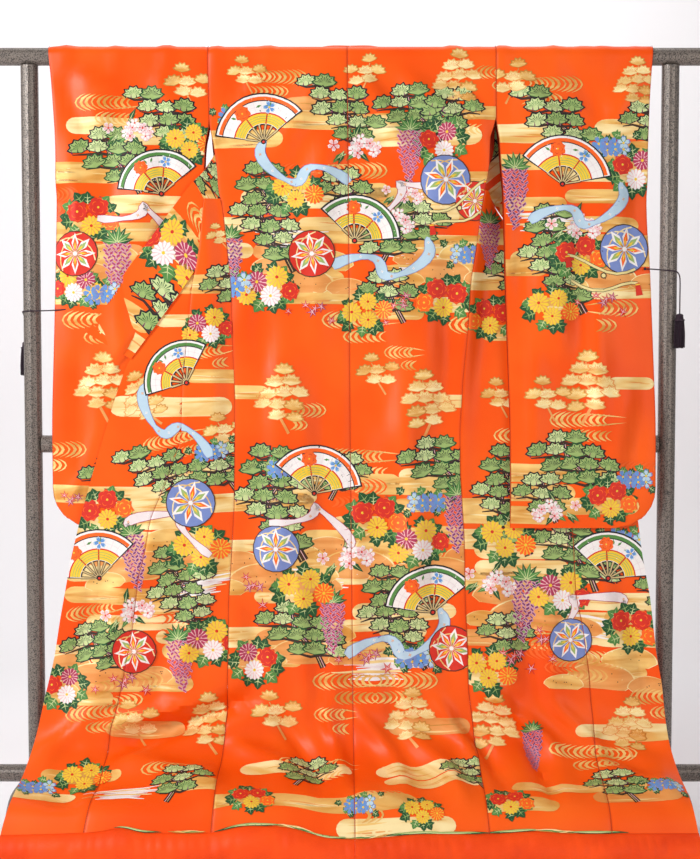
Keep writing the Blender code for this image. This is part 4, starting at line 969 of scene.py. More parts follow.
@seeded
def kiku(made, pick, radius, petal, edge, heart, number=14):
    """A many-petalled chrysanthemum: a toothed round with fine lines between its petals."""
    rim = [spoke(360 * k / (2 * number), radius * (1.05 if k % 2 else 0.86)) for k in range(2 * number)]
    made.fan(rim, petal, 1, (0, 0))
    for k in range(number):
        turn = 360 * k / number + pick.uniform(-3, 3)
        made.dart(spoke(turn, radius * 0.26), spoke(turn, radius * 0.9), radius * 0.12, edge, 2)
    for k in range(7):
        made.dart(spoke(51 * k + 11, radius * 0.12), spoke(51 * k + 11, radius * 0.46), radius * 0.1, edge, 3)
    made.fan(circle(radius * 0.16, 6), heart, 4)


@figure
def peony(made, seed, radius, petal, edge):
    """A full round flower with rolled petals."""
    pick = random.Random(seed)
    rim = [spoke(18 * k, radius * (0.92 + 0.12 * sin(k * 2.6 + seed) + pick.uniform(-0.04, 0.04))) for k in range(20)]
    made.fan(rim, petal, 1, (0, 0))
    for k in range(8):
        turn, reach = 45 * k + pick.uniform(-8, 8), radius * (0.62 if k % 2 else 0.36)
        x, y = spoke(turn, reach)
        arc = [(x + a, y + b) for a, b in (spoke(turn + 36 * j, radius * 0.24) for j in (-2, -1, 0, 1, 2))]
        made.band(arc, taper(arc, radius * 0.075, 0.2), edge, 2)
    made.fan(circle(radius * 0.12, 5), "yellow", 3)


@figure
def lobed_leaf(made, size, name, vein):
    """A leaf with pointed lobes that points up."""
    outline = [(0.0, 0.0), (0.22, 0.1), (0.5, 0.2), (0.34, 0.38), (0.56, 0.58), (0.28, 0.66), (0.2, 0.84), (0.0, 1.04)]
    outline = [(x * size, y * size) for x, y in outline]
    outline += [(-x, y) for x, y in reversed(outline[1:-1])]
    made.fan(outline, name, 0, (0.0, size * 0.5))
    made.dart((0.0, size * 0.9), (0.0, 0.0), size * 0.1, vein, 1)
    for side in (-1, 1):
        for h in (0.2, 0.46):
            made.dart((side * size * 0.36, size * (h + 0.13)), (0.0, size * h), size * 0.07, vein, 1)


@figure
def slim_leaf(made, size, name, wide=0.26, vein=None):
    half = size * wide / 2
    made.triangle((0, 0), (half, size * 0.45), (-half, size * 0.45), name, 0)
    made.triangle((-half, size * 0.45), (half, size * 0.45), (0, size), name, 0)
    if vein:
        made.dart((0, size * 0.85), (0, size * 0.05), size * 0.07, vein, 1)


@figure
def blossom(made, radius, petal, heart, edge=None, points=5):
    """A small open flower with parted petals."""
    layers = [(radius, petal, 1)]
    if edge:
        layers.insert(0, (radius * 1.2, edge, 0))
    shape = ((0.05, 0.0), (0.62, 0.32), (0.98, 0.16), (0.86, 0.0), (0.98, -0.16), (0.62, -0.32))
    for reach, name, layer in layers:
        for k in range(points):
            turn = 2 * pi * k / points + pi / 2
            c, s = cos(turn), sin(turn)
            made.fan([(reach * (a * c - b * s), reach * (a * s + b * c)) for a, b in shape], name, layer)
    made.fan(circle(radius * 0.22, 5), heart, 2)


@seeded
def cluster(made, pick, wide, tall, petals=("white", "pink"), heart="red", count=13, leaves=("green", "pine")):
    """A crowd of small blossoms over pointed leaves."""
    for k in range(8):
        made.put(slim_leaf(tall * 0.55, pick.choice(leaves), 0.36, "mint"), pick.uniform(-0.4, 0.4) * wide,
                 pick.uniform(-0.3, 0.3) * tall, turn=pick.uniform(-2.6, 2.6))
    for k in range(count):
        x, y = pick.uniform(-0.5, 0.5) * wide, pick.uniform(-0.4, 0.4) * tall
        petal = petals[k % len(petals)]
        made.put(blossom(pick.uniform(0.0095, 0.012), petal, heart, "pink" if petal == "white" else "white"), x, y,
                 turn=pick.uniform(0, 1.2), layer=2 + (k % 4) * 3)


@seeded
def bellflowers(made, pick, wide):
    """Blue flowers pressed together over dark pointed leaves."""
    for k in range(11):
        side = -1 if k % 2 else 1
        made.put(lobed_leaf(0.02, ("pine", "green")[k % 3 == 0], "mint"), side * wide * pick.uniform(0.1, 0.62),
                 pick.uniform(-0.3, 0.34) * wide, turn=pick.uniform(-2.2, 2.2), layer=(k % 2) * 2)
    for k in range(8):
        name = ("blue", "dusk_blue", "blue", "pale_blue")[k % 4]
        made.put(blossom(wide * 0.17, name, "yellow", "dusk_blue" if name != "dusk_blue" else "blue"),
                 (k % 4 - 1.5) * wide * 0.22, (k // 4 - 0.5) * wide * 0.2 + pick.uniform(-0.003, 0.003),
                 turn=pick.uniform(0, 1), layer=5 + (k % 3) * 3)


@seeded
def maples(made, pick, spread, names=("red", "magenta", "red"), count=6):
    """Fallen maple leaves."""
    reaches = (0.35, 0.8, 0.3, 0.98, 0.3, 1.0, 0.3, 0.98, 0.3, 0.8, 0.35, 0.12)
    for k in range(count):
        size = pick.uniform(0.011, 0.015)
        leaf, name = Figure(), names[k % len(names)]
        leaf.fan([spoke(-60 + 30 * j, size * reach) for j, reach in enumerate(reaches)], name, 0, (0, 0))
        for j in (1, 3, 5, 7, 9):
            leaf.dart(spoke(-60 + 30 * j, size * 0.75), (0, 0), size * 0.12, "pink", 1)
        leaf.band([(0, 0), (0, -size * 0.8)], size * 0.1, name, 0)
        made.put(leaf.arrays(), pick.uniform(-1, 1) * spread, pick.uniform(-0.5, 0.5) * spread,
                 turn=pick.uniform(0, 6.28), layer=k % 2 * 2)


@seeded
def wisteria(made, pick, drop, name):
    """A hanging cluster of wisteria: leaves above, then ragged rows of small petals, each on a pale one."""
    half = 0.025
    step = 0.0074
    rows = round(drop / step)
    for r in range(rows):
        t = r / rows
        wide = half * (1 - t ** 2.0) + 0.002
        across = max(1, round(wide / 0.0042))
        for k in range(across):
            x = (k - (across - 1) / 2) * 0.0086 + (0.002 if r % 2 else -0.002)
            y, size, lean = -r * step - abs(x) * 0.2, 0.0072 * pick.uniform(0.85, 1.1), 0.0026 if k % 2 else -0.0026
            for tone, grow, layer in (("lilac", 1.5, r % 2), (name if pick.random() < 0.8 else "magenta", 1.0, 2)):
                high, wide_half = size * grow * 0.5, size * grow * 0.42
                made.fan([(x + lean, y + high), (x + wide_half, y - size * 0.05), (x - lean, y - high),
                          (x - wide_half, y + size * 0.05)], tone, layer)
    for k, turn in enumerate((-1.35, -0.95, -0.55, -0.15, 0.3, 0.7, 1.1, 1.45)):
        leaf = slim_leaf(0.034, "green" if k % 2 else "pine", 0.34, "mint")
        made.put(leaf, 0.0, -0.004, turn=turn, layer=3 + k % 2 * 2)


@figure
def garden(made, seed, flowers):
    """A bed of flowers and their lobed leaves. flowers gives the kind and petal of each."""
    pick = random.Random(seed)
    for k in range(12):
        x, y = spoke(30 * k + pick.uniform(-10, 10), 0.036, 1.35)
        name, vein = (("pine", "mint"), ("pine", "leaf"), ("green", "mint"))[k % 3]
        made.put(lobed_leaf(pick.uniform(0.026, 0.033), name, vein), x * 0.75, y * 0.8,
                 turn=atan2(y, x) - pi / 2 + pick.uniform(-0.3, 0.3), layer=(k % 3) * 2)
    places = ((-0.026, 0.012), (0.018, 0.022), (0.004, -0.018), (0.046, -0.008), (-0.048, -0.016), (0.05, 0.03))
    edges = {"red": "orange", "yellow": "amber", "orange": "yellow"}
    for k, (kind, petal) in enumerate(flowers):
        x, y = places[k]
        radius, edge = pick.uniform(0.0205, 0.024), edges.get(petal, "pink")
        if kind == "peony":
            shape = peony(seed * 7 + k, radius, petal, edge)
        else:
            shape = kiku(seed * 7 + k, radius, petal, edge, "red" if petal == "yellow" else "yellow")
        made.put(shape, x, y, turn=pick.uniform(0, 1), layer=7 + 4 * (k % 4))


@seeded
def mounds(made, pick, wide, name="amber"):
    """Low rounded hills, each with a pale rim and a scatter of dots."""
    hills = ((-0.34, 0.12, 0.52), (0.22, 0.16, 0.6), (-0.06, -0.06, 0.74), (0.44, -0.1, 0.46), (-0.44, -0.12, 0.42))
    for k, (x, y, size) in enumerate(hills):
        r = wide * size / 2
        x, y = x * wide, y * wide
        for grow, tone, layer in ((1.0, "pale_gold", 0), (0.95, (name, "gold", name)[k % 3], 1)):
            top = [spoke(180 * i / 14, r * grow, 1.0) for i in range(15)]
            base = [(x + side * r * 0.7 * grow, y - r * 0.2) for side in (-1, 1)]
            made.fan([(x + a, y + b * 0.55) for a, b in top] + base, tone, layer + 2 * k, (x, y))
        for _ in range(5):
            dx, dy = pick.uniform(-0.6, 0.6) * r, pick.uniform(0.02, 0.3) * r
            made.fan(circle(0.0013, 5, x + dx, y + dy), "bark", 2 + 2 * k)


@seeded
def mist(made, pick, wide, tall=0.036):
    """A pale patch of brushed mist with ragged ends."""
    count = max(4, round(tall / 0.0042))
    for k in range(count):
        y = tall * (k / (count - 1) - 0.5)
        x0, x1 = -wide / 2 + pick.uniform(0, 0.3) * wide, wide / 2 - pick.uniform(0, 0.3) * wide
        path = [(x0 + (x1 - x0) * i / 6, y + 0.0008 * sin(i * 2 + k)) for i in range(7)]
        made.band(path, taper(path, 0.0054, 0.3), ("white", "mist", "white", "pale_gold")[k % 4], k % 2)


@figure
def open_fan(made, seed, radius=0.105):
    """A spread folding fan: black sticks, a white leaf with lattice and slats, bands and a large flower."""
    pick = random.Random(seed)
    a0, a1 = 24, 156
    inner = radius * 0.38
    rings = [
        (inner - 0.0024, radius + 0.003, 1.9, "black", 0, 14), (inner, radius, 0, "white", 1, 14),
        (radius * 0.88, radius * 0.955, -1, ("orange", "green")[seed % 2], 2, 14),
        (radius * 0.86, radius * 0.88, 0, "black", 3, 18), (inner + 0.001, radius * 0.6, -1, "yellow", 2, 14),
        (radius * 0.6, radius * 0.628, 0, "red", 3, 14),
    ]
    rings += [(radius * r, radius * r + 0.0011, -1, "leaf", 3, 14) for r in (0.44, 0.49, 0.54)]
    for r0, r1, over, name, layer, steps in rings:
        ring_part(made, r0, r1, a0 - over, a1 + over, name, layer, steps)
    for k in range(1, 12):
        turn = a0 + (a1 - a0) * k / 12
        made.band([spoke(turn, radius * 0.63), spoke(turn, radius * 0.86)], 0.0013, "mist", 2)
        if k % 4 == 0:
            made.band([spoke(turn, inner), spoke(turn, radius * 0.6)], 0.003, "red", 3)
    ring_part(made, radius * 0.74, radius * 0.74 + 0.0013, a0 + 1, a1 - 1, "mist", 2, 16)
    for k in range(0, 13, 2):
        turn = a0 + (a1 - a0) * k / 12
        made.band([spoke(turn, radius * 0.05), spoke(turn, inner)], [0.0042, 0.0062], "black", 0)
        made.band([spoke(turn, radius * 0.06), spoke(turn, inner)], [0.002, 0.0036], "sand", 1)
    made.fan(circle(0.0056, 9), "black", 2)
    made.fan(circle(0.003, 7), "red", 3)
    x, y = spoke(112, radius * 0.74)
    made.put(peony(seed + 5, radius * 0.17, "orange", "red"), x, y, layer=3)
    x, y = spoke(66, radius * 0.74)
    made.put(blossom(radius * 0.12, "blue", "yellow", "pale_blue"), x, y, layer=4)
    for k in range(5):
        x, y = spoke(pick.uniform(60, 130), radius * 0.74)
        made.put(slim_leaf(radius * 0.13, "green", 0.4), x, y, turn=pick.uniform(-2, 2), layer=3)


@figure
def hand_ball(made, seed, radius=0.054):
    """A thread-wound ball: a red ground with crossed lozenges of coloured thread from its middle."""
    ring_part(made, 0.0, radius, 0, 360, "bark", 0, 20)
    ring_part(made, 0.0, radius * 0.96, 0, 360, ("red", "dusk_blue")[seed % 2], 1, 20)
    for k in range(8):
        turn = 45 * k + 17 * seed
        second = ("leaf", "orange")[k % 2]
        for grow, name, layer in ((1.0, "white", 2), (0.8, second, 3), (0.56, "yellow", 4), (0.34, "magenta", 5)):
            tip, wing = radius * 0.9 * grow, radius * (0.5 if k % 2 else 0.56) * grow
            made.triangle((0, 0), spoke(turn - 17 * grow, wing), spoke(turn, tip), name, layer + 5 * (k % 2))
            made.triangle((0, 0), spoke(turn, tip), spoke(turn + 17 * grow, wing), name, layer + 5 * (k % 2))
    for turn in (28, 118):
        arc = [spoke(turn + 11 * seed + 20 * j, radius * (0.93 - 0.3 * (1 - (j / 4) ** 2))) for j in range(-4, 5)]
        made.band(arc, radius * 0.05, "pale_gold", 1.5)
    made.fan(circle(radius * 0.1, 7), "white", 13)


@figure
def streamer(made, seed, reach, name="pale_blue", wide=0.022):
    """A long ribbon that turns over on itself, with small marks."""
    count = max(18, round(reach / 0.009))
    path, widths = [], []
    for i in range(count + 1):
        t = i / count
        path.append((reach * (t - 0.5) * 0.95 + 0.018 * sin(t * 12 + seed), 0.03 * sin(t * 6.5 + seed)))
        widths.append(wide * (0.34 + 0.66 * abs(cos(t * 8 + seed * 0.7))) * (1 if 0 < i < count else 0.6))
    made.band(path, [w + 0.0022 for w in widths], "dusk_blue" if name == "pale_blue" else "magenta", 0)
    made.band(path, widths, name, 1)
    for i in range(2, count - 1, 3):
        x, y = path[i]
        made.put(blossom(0.0032, ("white", "amber")[i % 2], "amber", points=4), x, y, layer=2)


@seeded
def hem_strip(made, pick, reach, names):
    """A narrow strip of folded patterned silk, as shows along the hem's seam."""
    path = [(reach * (i / 4 - 1), pick.uniform(-0.0008, 0.0008)) for i in range(9)]
    for k, name in enumerate(names):
        line = [(x * (1 - 0.2 * k) + 0.006 * k, y + 0.001 * (k % 2)) for x, y in path]
        made.band(line, taper(line, 0.0074 - 0.0024 * k, 0.1), name, k)


@figure
def tied_cords(made, seed, reach):
    """Two straw-coloured cords that cross and are tied, each with a tassel."""
    for side in (-1, 1):
        tail = [(side * reach * (0.5 - t), reach * (0.1 * sin(t * 5 + seed) - 0.3 * t * side)) for t in
                (0, 0.15, 0.3, 0.45, 0.6, 0.75, 0.9, 1)]
        made.band(tail, 0.0074, "bark", 0)
        made.band(tail, 0.0054, "straw", 1)
        x, y = tail[-1]
        made.fan([(x - 0.005, y), (x + 0.005, y), (x + 0.008, y - 0.028), (x - 0.008, y - 0.028)], "red", 2)
        made.band([(x - 0.0055, y - 0.003), (x + 0.0055, y - 0.003)], 0.0028, "yellow", 3)
    made.fan(circle(0.007, 10), "bark", 2)
    made.fan(circle(0.0048, 8), "straw", 3)


# ---- Where the figures lie ----


@cache
def all_figures():
    """Each kind of figure, with the layer that it starts from, and the banks of haze."""
    peony_red, peony_orange = ("peony", "red"), ("peony", "orange")
    yellow, white, plum = ("kiku", "yellow"), ("kiku", "white"), ("kiku", "magenta")
    made = {
        "pine_wide": (pine(3, ((0.4, 2), (-0.6, 4), (0.1, 4), (1.2, 3))), 26),
        "pine_tall": (pine(8, ((0.5, 2), (0.0, 2), (0.4, 3), (-0.4, 3), (0.2, 3), (0.9, 2), (1.4, 2))), 26),
        "pine_slant": (pine(14, ((0.0, 2), (0.3, 3), (0.0, 3), (0.5, 3), (0.4, 2)), False, -0.55), 26),
        "pine_small": (pine(5, ((0.5, 2), (0.0, 3), (0.8, 2))), 26),
        "gold_pine": (pine(6, ((0.9, 1), (0.4, 2), (0.0, 3), (-0.4, 3), (0.6, 2)), True, 0.0, 0.019), 22),
        "gold_tuft": (pine(9, ((0.6, 1), (0.0, 3), (0.7, 2)), True, 0.0, 0.019), 22),
        "ripples": (ripples(2, 10), 19), "ripples_low": (ripples(7, 6), 19),
        "ripples_red": (ripples(4, 9, "orange"), 20),
        "garden_red": (garden(11, (peony_red, peony_red, yellow, peony_orange)), 50),
        "garden_rose": (garden(12, (peony_red, plum, white)), 50),
        "garden_dusk": (garden(13, (plum, yellow, white, peony_red, yellow)), 50),
        "garden_gold": (garden(17, (yellow, yellow, yellow, ("kiku", "orange"))), 50),
        "wisteria_rose": (wisteria(4, 0.118, "magenta"), 54), "wisteria_plum": (wisteria(9, 0.132, "purple"), 54),
        "cherry": (cluster(3, 0.105, 0.06), 54),
        "bells": (bellflowers(5, 0.08), 52),
        "maples": (maples(2, 0.05), 56), "mounds": (mounds(4, 0.21), 9),
        "mist": (mist(5, 0.17), 8),
        "fan": (open_fan(4), 78), "fan_small": (open_fan(9, 0.086), 78),
        "ball": (hand_ball(1), 90), "ball_small": (hand_ball(2, 0.043), 90),
        "ribbon_sky": (streamer(2, 0.215), 74), "ribbon_rose": (streamer(5, 0.185, "mist", 0.019), 76),
        "cords": (tied_cords(3, 0.15), 97),
        "strip_leaf": (hem_strip(1, 0.07, ("pine", "leaf", "mint")), 112),
        "strip_gold": (hem_strip(2, 0.048, ("deep_gold", "pale_gold", "green")), 112),
    }
    return made, [haze(3 + k, *bank) for k, bank in enumerate(BANKS)]


def places(text):
    """Rows of a figure's kind, its place across and up in millimetres, its size in hundredths, less than
    nought where it is mirrored, and its turn in degrees. The size is 100 and the turn 0 where none is given."""
    out = []
    for row in text.split(","):
        kind, *numbers = row.split()
        out.append((kind, *map(int, numbers), *(100, 0)[len(numbers) - 2 :]))
    return out


BODY_PLACES = places("""
    gold_tuft -248 1652 80, gold_pine 205 1640 90, gold_tuft 60 1655 -85 4, ripples -110 1640 -100,
    ripples 175 1560 105, ripples_low 285 1650 90, pine_slant -60 1570 95, pine_wide 95 1565 92 3,
    pine_small 262 1570 -100, pine_tall -222 1350, pine_wide 170 1315 -95, pine_small -55 1395 95 5,
    pine_small 40 1180, ripples_red -140 1440, ripples 60 1440 -110, ripples_red 120 1180 -105, ripples -40 1120 115,
    ripples_low 235 1110 120, mist 150 1240 95, mist -120 1290, mounds 205 1225 90, mounds -95 1205 95,
    fan -185 1500 98 15, ribbon_sky -120 1445 100 -26, bells -245 1555 90, garden_rose 195 1500 95 10,
    wisteria_rose 128 1530, cherry 5 1495 100 10, ball 205 1420 100 10, ball_small 268 1375 100 40,
    ribbon_rose 140 1390 105 18, cords 235 1360 85 8, garden_gold -120 1395 95, wisteria_plum -258 1300 95,
    fan_small 10 1290 112 -20, ribbon_sky 90 1245 -105 16, ball_small -82 1262 118 20, garden_dusk -175 1190,
    bells 255 1260 -95, garden_red 205 1165 -100, maples 110 1150 100 45, cherry 85 1345 95 -12,
    bells -255 1190 115 12, garden_gold 30 1135 92 20, maples -85 1140, cherry 110 1395 80, gold_tuft 30 1010 90 4,
    gold_pine -175 960, gold_pine 195 950 -100 4, ripples_low -70 925 -100, ripples_low 90 1050 90,
    pine_tall -212 735 108, pine_wide 150 805 98 3, ripples -30 825 110, ripples_red 60 760 -110,
    pine_small 25 790 -90, fan -78 745 98 -14, ribbon_rose -60 680 105 -16, ball -160 625 95 28,
    garden_red 55 690 108, bells -140 800 95 6, wisteria_plum 232 745, garden_dusk 150 640 100 10, bells 165 725 -100,
    mounds -170 560 110, mounds 185 575 -105, mounds 30 590 110, mist -55 560 110, mist 120 540 105,
    cherry -15 610 110 16, pine_tall 55 480 100 4, fan_small 180 485 118 16, ribbon_sky 125 425 -112 26,
    ball_small 222 405 118 46, garden_gold -105 535 105, maples -222 545 110 -28, pine_wide -160 450 98 -3,
    wisteria_rose -38 510, garden_rose -205 375 -98, maples 30 385 115, mounds -90 400 95, mist 60 360 120,
    ripples -60 335 120, ripples 170 335 -120, bells 145 385 110, gold_pine 105 258 95, gold_tuft -195 268 105 4,
    ripples_low -60 262, pine_small 215 160 92, ripples -130 170 115, pine_small -50 165 -92 4,
    ripples_low 95 135 -120, garden_red -205 130 78, bells 20 128 78, garden_gold 145 118 70,
    strip_leaf -205 80 100 1, strip_gold -110 80 110 -1, strip_leaf -45 79 -80, strip_gold 35 80 -100 1,
    strip_leaf 130 80 90, strip_leaf 215 79 -100 1""")
LEFT_FRONT_PLACES = places("""
    gold_tuft -298 1300 60 12, pine_small -300 1190 90 12, garden_dusk -305 1105 85 6, ripples_low -320 1050 90 8,
    fan_small -352 985 105 40, ribbon_sky -395 905 100 -52, gold_pine -470 945 85 26, gold_tuft -300 880 90 8,
    ripples -430 850 100 14, pine_slant -445 775 95 16, pine_small -325 800 100 8, ball -345 725 100 16,
    ribbon_rose -400 680 -110 -20, garden_red -535 705 100 20, bells -300 835 85 8, wisteria_plum -475 660 100 8,
    fan -545 560 100 22, garden_gold -330 625 105 10, mounds -440 590 105 10, mist -330 545 100 6,
    pine_tall -405 525 95 10, cherry -490 490 105 22, ripples -600 480 100 12, ripples_red -320 480 -105 6,
    garden_dusk -305 420 100 8, pine_wide -585 400 90 14, ball_small -470 400 112 16, wisteria_rose -375 430 105 6,
    mounds -540 345 110 8, ripples -430 335 -120 6, maples -500 330 115 10, garden_rose -625 320 92 10,
    gold_pine -335 245 95 6, ripples -600 262 110 6, gold_tuft -500 250 100 8, ripples_low -420 160 120,
    garden_gold -565 160 90 6, bells -655 150 95 10, pine_small -310 150 -95 4, mist -470 140, strip_gold -330 80 80,
    strip_leaf -430 80 -70""")
RIGHT_FRONT_PLACES = places("""
    wisteria_rose 302 1335 90, pine_small 315 1225 95, garden_red 308 1125 -92, gold_tuft 300 960 85,
    ripples_low 330 870, pine_tall 300 745 100 -6, garden_gold 335 645 105 -6, pine_wide 440 625 98 -8,
    fan_small 560 560 115 -20, ribbon_rose 520 500 105 28, wisteria_plum 385 560 110 -4, bells 600 640 105 -12,
    garden_dusk 460 530 100 -6, cherry 300 560 105 -6, mounds 400 480 110 -6, mist 520 455 110 -8,
    ripples 320 450 115, garden_red 612 450 100 -12, ball 480 425 88, maples 415 430 105 -34, ripples 590 380 -120 -4,
    ripples_red 400 400 110, maples 345 385 115, garden_gold 300 360 98 -6, mounds 560 345 100 -4,
    ripples 630 300 110, pine_small 640 540 90 -8, gold_pine 340 245 -98 -6, gold_pine 580 245 90 -6,
    ripples 450 190 120, pine_small 515 150, bells 655 145 88 -6, wisteria_plum 395 230 75, garden_red 325 130 80,
    ripples_low 600 190 -110, pine_small 300 440 95, strip_leaf 330 80 90, strip_gold 420 80 -100,
    strip_leaf 500 80 -90""")
LEFT_SLEEVE_PLACES = places("""
    gold_tuft -380 1630 95, ripples -570 1585 110, pine_slant -430 1545 95, garden_gold -350 1500 90 6,
    pine_wide -555 1470 98, fan_small -405 1390 108 16, ribbon_rose -430 1325 105 -22, ripples_red -600 1390 -100,
    garden_red -560 1340, cherry -480 1530 95 6, ball_small -590 1262 115 12, wisteria_rose -500 1290 110,
    pine_tall -375 1235 95, bells -530 1175 100 6, ripples_low -600 1120 120, garden_dusk -590 1195 -90,
    mounds -560 1215, gold_pine -565 985, gold_tuft -400 950 -100, ripples -590 840 -110, pine_wide -545 770 90,
    garden_red -420 760, maples -610 730 90, pine_small -370 860 -90""")
RIGHT_SLEEVE_PLACES = places("""
    gold_tuft 380 1640 -95, gold_pine 590 1630 80, ripples 480 1625 -110, pine_slant 400 1545 98,
    pine_small 600 1545 95, bells 560 1490, garden_rose 610 1440, fan 455 1410 98 -14, ribbon_sky 510 1355 -102 22,
    wisteria_plum 355 1450 -105, ball 590 1272 100 22, cords 545 1215 -95 10, pine_tall 400 1260,
    garden_red 490 1255 100 6, cherry 475 1325 105 6, ripples_low 600 1145 -120, garden_gold 430 1145 95,
    maples 540 1160 105, mist 420 1330, mounds 560 1215 95, gold_pine 545 985 -105, gold_tuft 395 960 95,
    ripples 450 905 110, pine_wide 430 820 98, ripples_red 590 800 105, garden_red 560 730 95, bells 615 775 95,
    cherry 450 715 -95, pine_small 375 745 95""")
# On the collars the place across is from the sewn edge, and the second one, less than nought, is along
# the band from the neck.
COLLAR_PLACES = places("""
    ripples_low 20 -180 90, gold_pine 42 -300 85 10, garden_red 40 -470 85 10, pine_small 44 -560 95,
    ripples_low 48 -640 -100, garden_dusk 44 -715 90 6, pine_small 40 -805 -90""")
BANKS = (
    (0.13, 0.03, "gold"), (0.19, 0.036, "gold"), (0.25, 0.04, "pale_gold"), (0.3, 0.036, "gold"),
    (0.17, 0.034, "amber"), (0.11, 0.028, "pale_gold"), (0.22, 0.034, "pale_gold"),
)
# The kinds that lie on haze, and how many banks of it each has behind it.
HAZY = {
    "pine": 1.6, "garden": 1.1, "fan": 1.5, "ball": 1.3, "wisteria": 0.7, "bells": 0.6, "cherry": 0.8, "mounds": 1.0,
    "gold": 0.25,
}


def haze_behind(seed, placed, way=1):
    """Stacked banks of haze behind the figures that have some."""
    pick = random.Random(seed)
    banks = all_figures()[1]
    out = []
    for kind, x, drop in placed:
        number = HAZY.get(kind.split("_")[0], 0)
        for k in range(int(number + pick.random())):
            bank = pick.choice(banks)
            low = pick.uniform(-0.014, 0.034) + 0.037 * k
            out.append((bank, x + pick.uniform(-0.07, 0.07), drop + way * low, pick.uniform(0.9, 1.12),
                        pick.uniform(-0.02, 0.02), pick.random() < 0.5, (len(out) % 4) * 2, way))
    return out


def placed_figures(places, drop_of, seed, way=1):
    """Placements from a table, each a little above the one before in its layer, on their haze."""
    figures = all_figures()[0]
    out, hazy = [], []
    for k, (kind, x, z, size, turn) in enumerate(places):
        shape, layer = figures[kind]
        hazy.append((kind, x / 1000, drop_of(z / 1000)))
        out.append((shape, x / 1000, drop_of(z / 1000), abs(size) / 100, radians(turn), size < 0,
                    layer + (k % 4) * 0.25, way))
    return haze_behind(seed, hazy, way) + out


def cut_where(corners, tags, value):
    """Triangles cut in two or three where value, given at each corner, passes nought."""
    order = np.argsort(value, axis=1)
    value = np.take_along_axis(value, order, 1)
    crossed = (value[:, 0] < -1e-9) & (value[:, 2] > 1e-9)
    if not crossed.any():
        return corners, tags
    a, b, c = np.take_along_axis(corners[crossed], order[crossed][..., None], 1).transpose(1, 0, 2)
    va, vb, vc = value[crossed].T[..., None]
    middle = a + (c - a) * (va / (va - vc))
    low, high = vb < -1e-9, vb > 1e-9
    q = np.where(low, b + (c - b) * (vb / np.where(low, vb - vc, 1)), b)
    q = np.where(high, a + (b - a) * (va / np.where(high, va - vb, 1)), q)
    start, end = np.where(high, q, b), np.where(high, b, q)
    off = (low | high)[:, 0]
    parts = [np.stack((a, start, middle), 1), np.stack((start, end, middle), 1)[off], np.stack((end, c, middle), 1)]
    cut_tags = tags[crossed]
    return (np.concatenate([corners[~crossed]] + parts),
            np.concatenate([tags[~crossed], cut_tags, cut_tags[off], cut_tags]))


def cut_on_lines(corners, tags, lines, axis):
    """Triangles cut along the lines of a grid until none crosses one."""
    done, done_tags = [], []
    for _ in range(14):
        first = np.searchsorted(lines, corners[..., axis].min(1) + 1e-8, side="right")
        last = np.searchsorted(lines, corners[..., axis].max(1) - 1e-8, side="left")
        cut = last > first
        done.append(corners[~cut])
        done_tags.append(tags[~cut])
        if not cut.any():
            break
        line = lines[(first + (last - first) // 2)[cut]]
        corners, tags = cut_where(corners[cut], tags[cut], corners[cut][..., axis] - line[:, None])
    return np.concatenate(done), np.concatenate(done_tags)


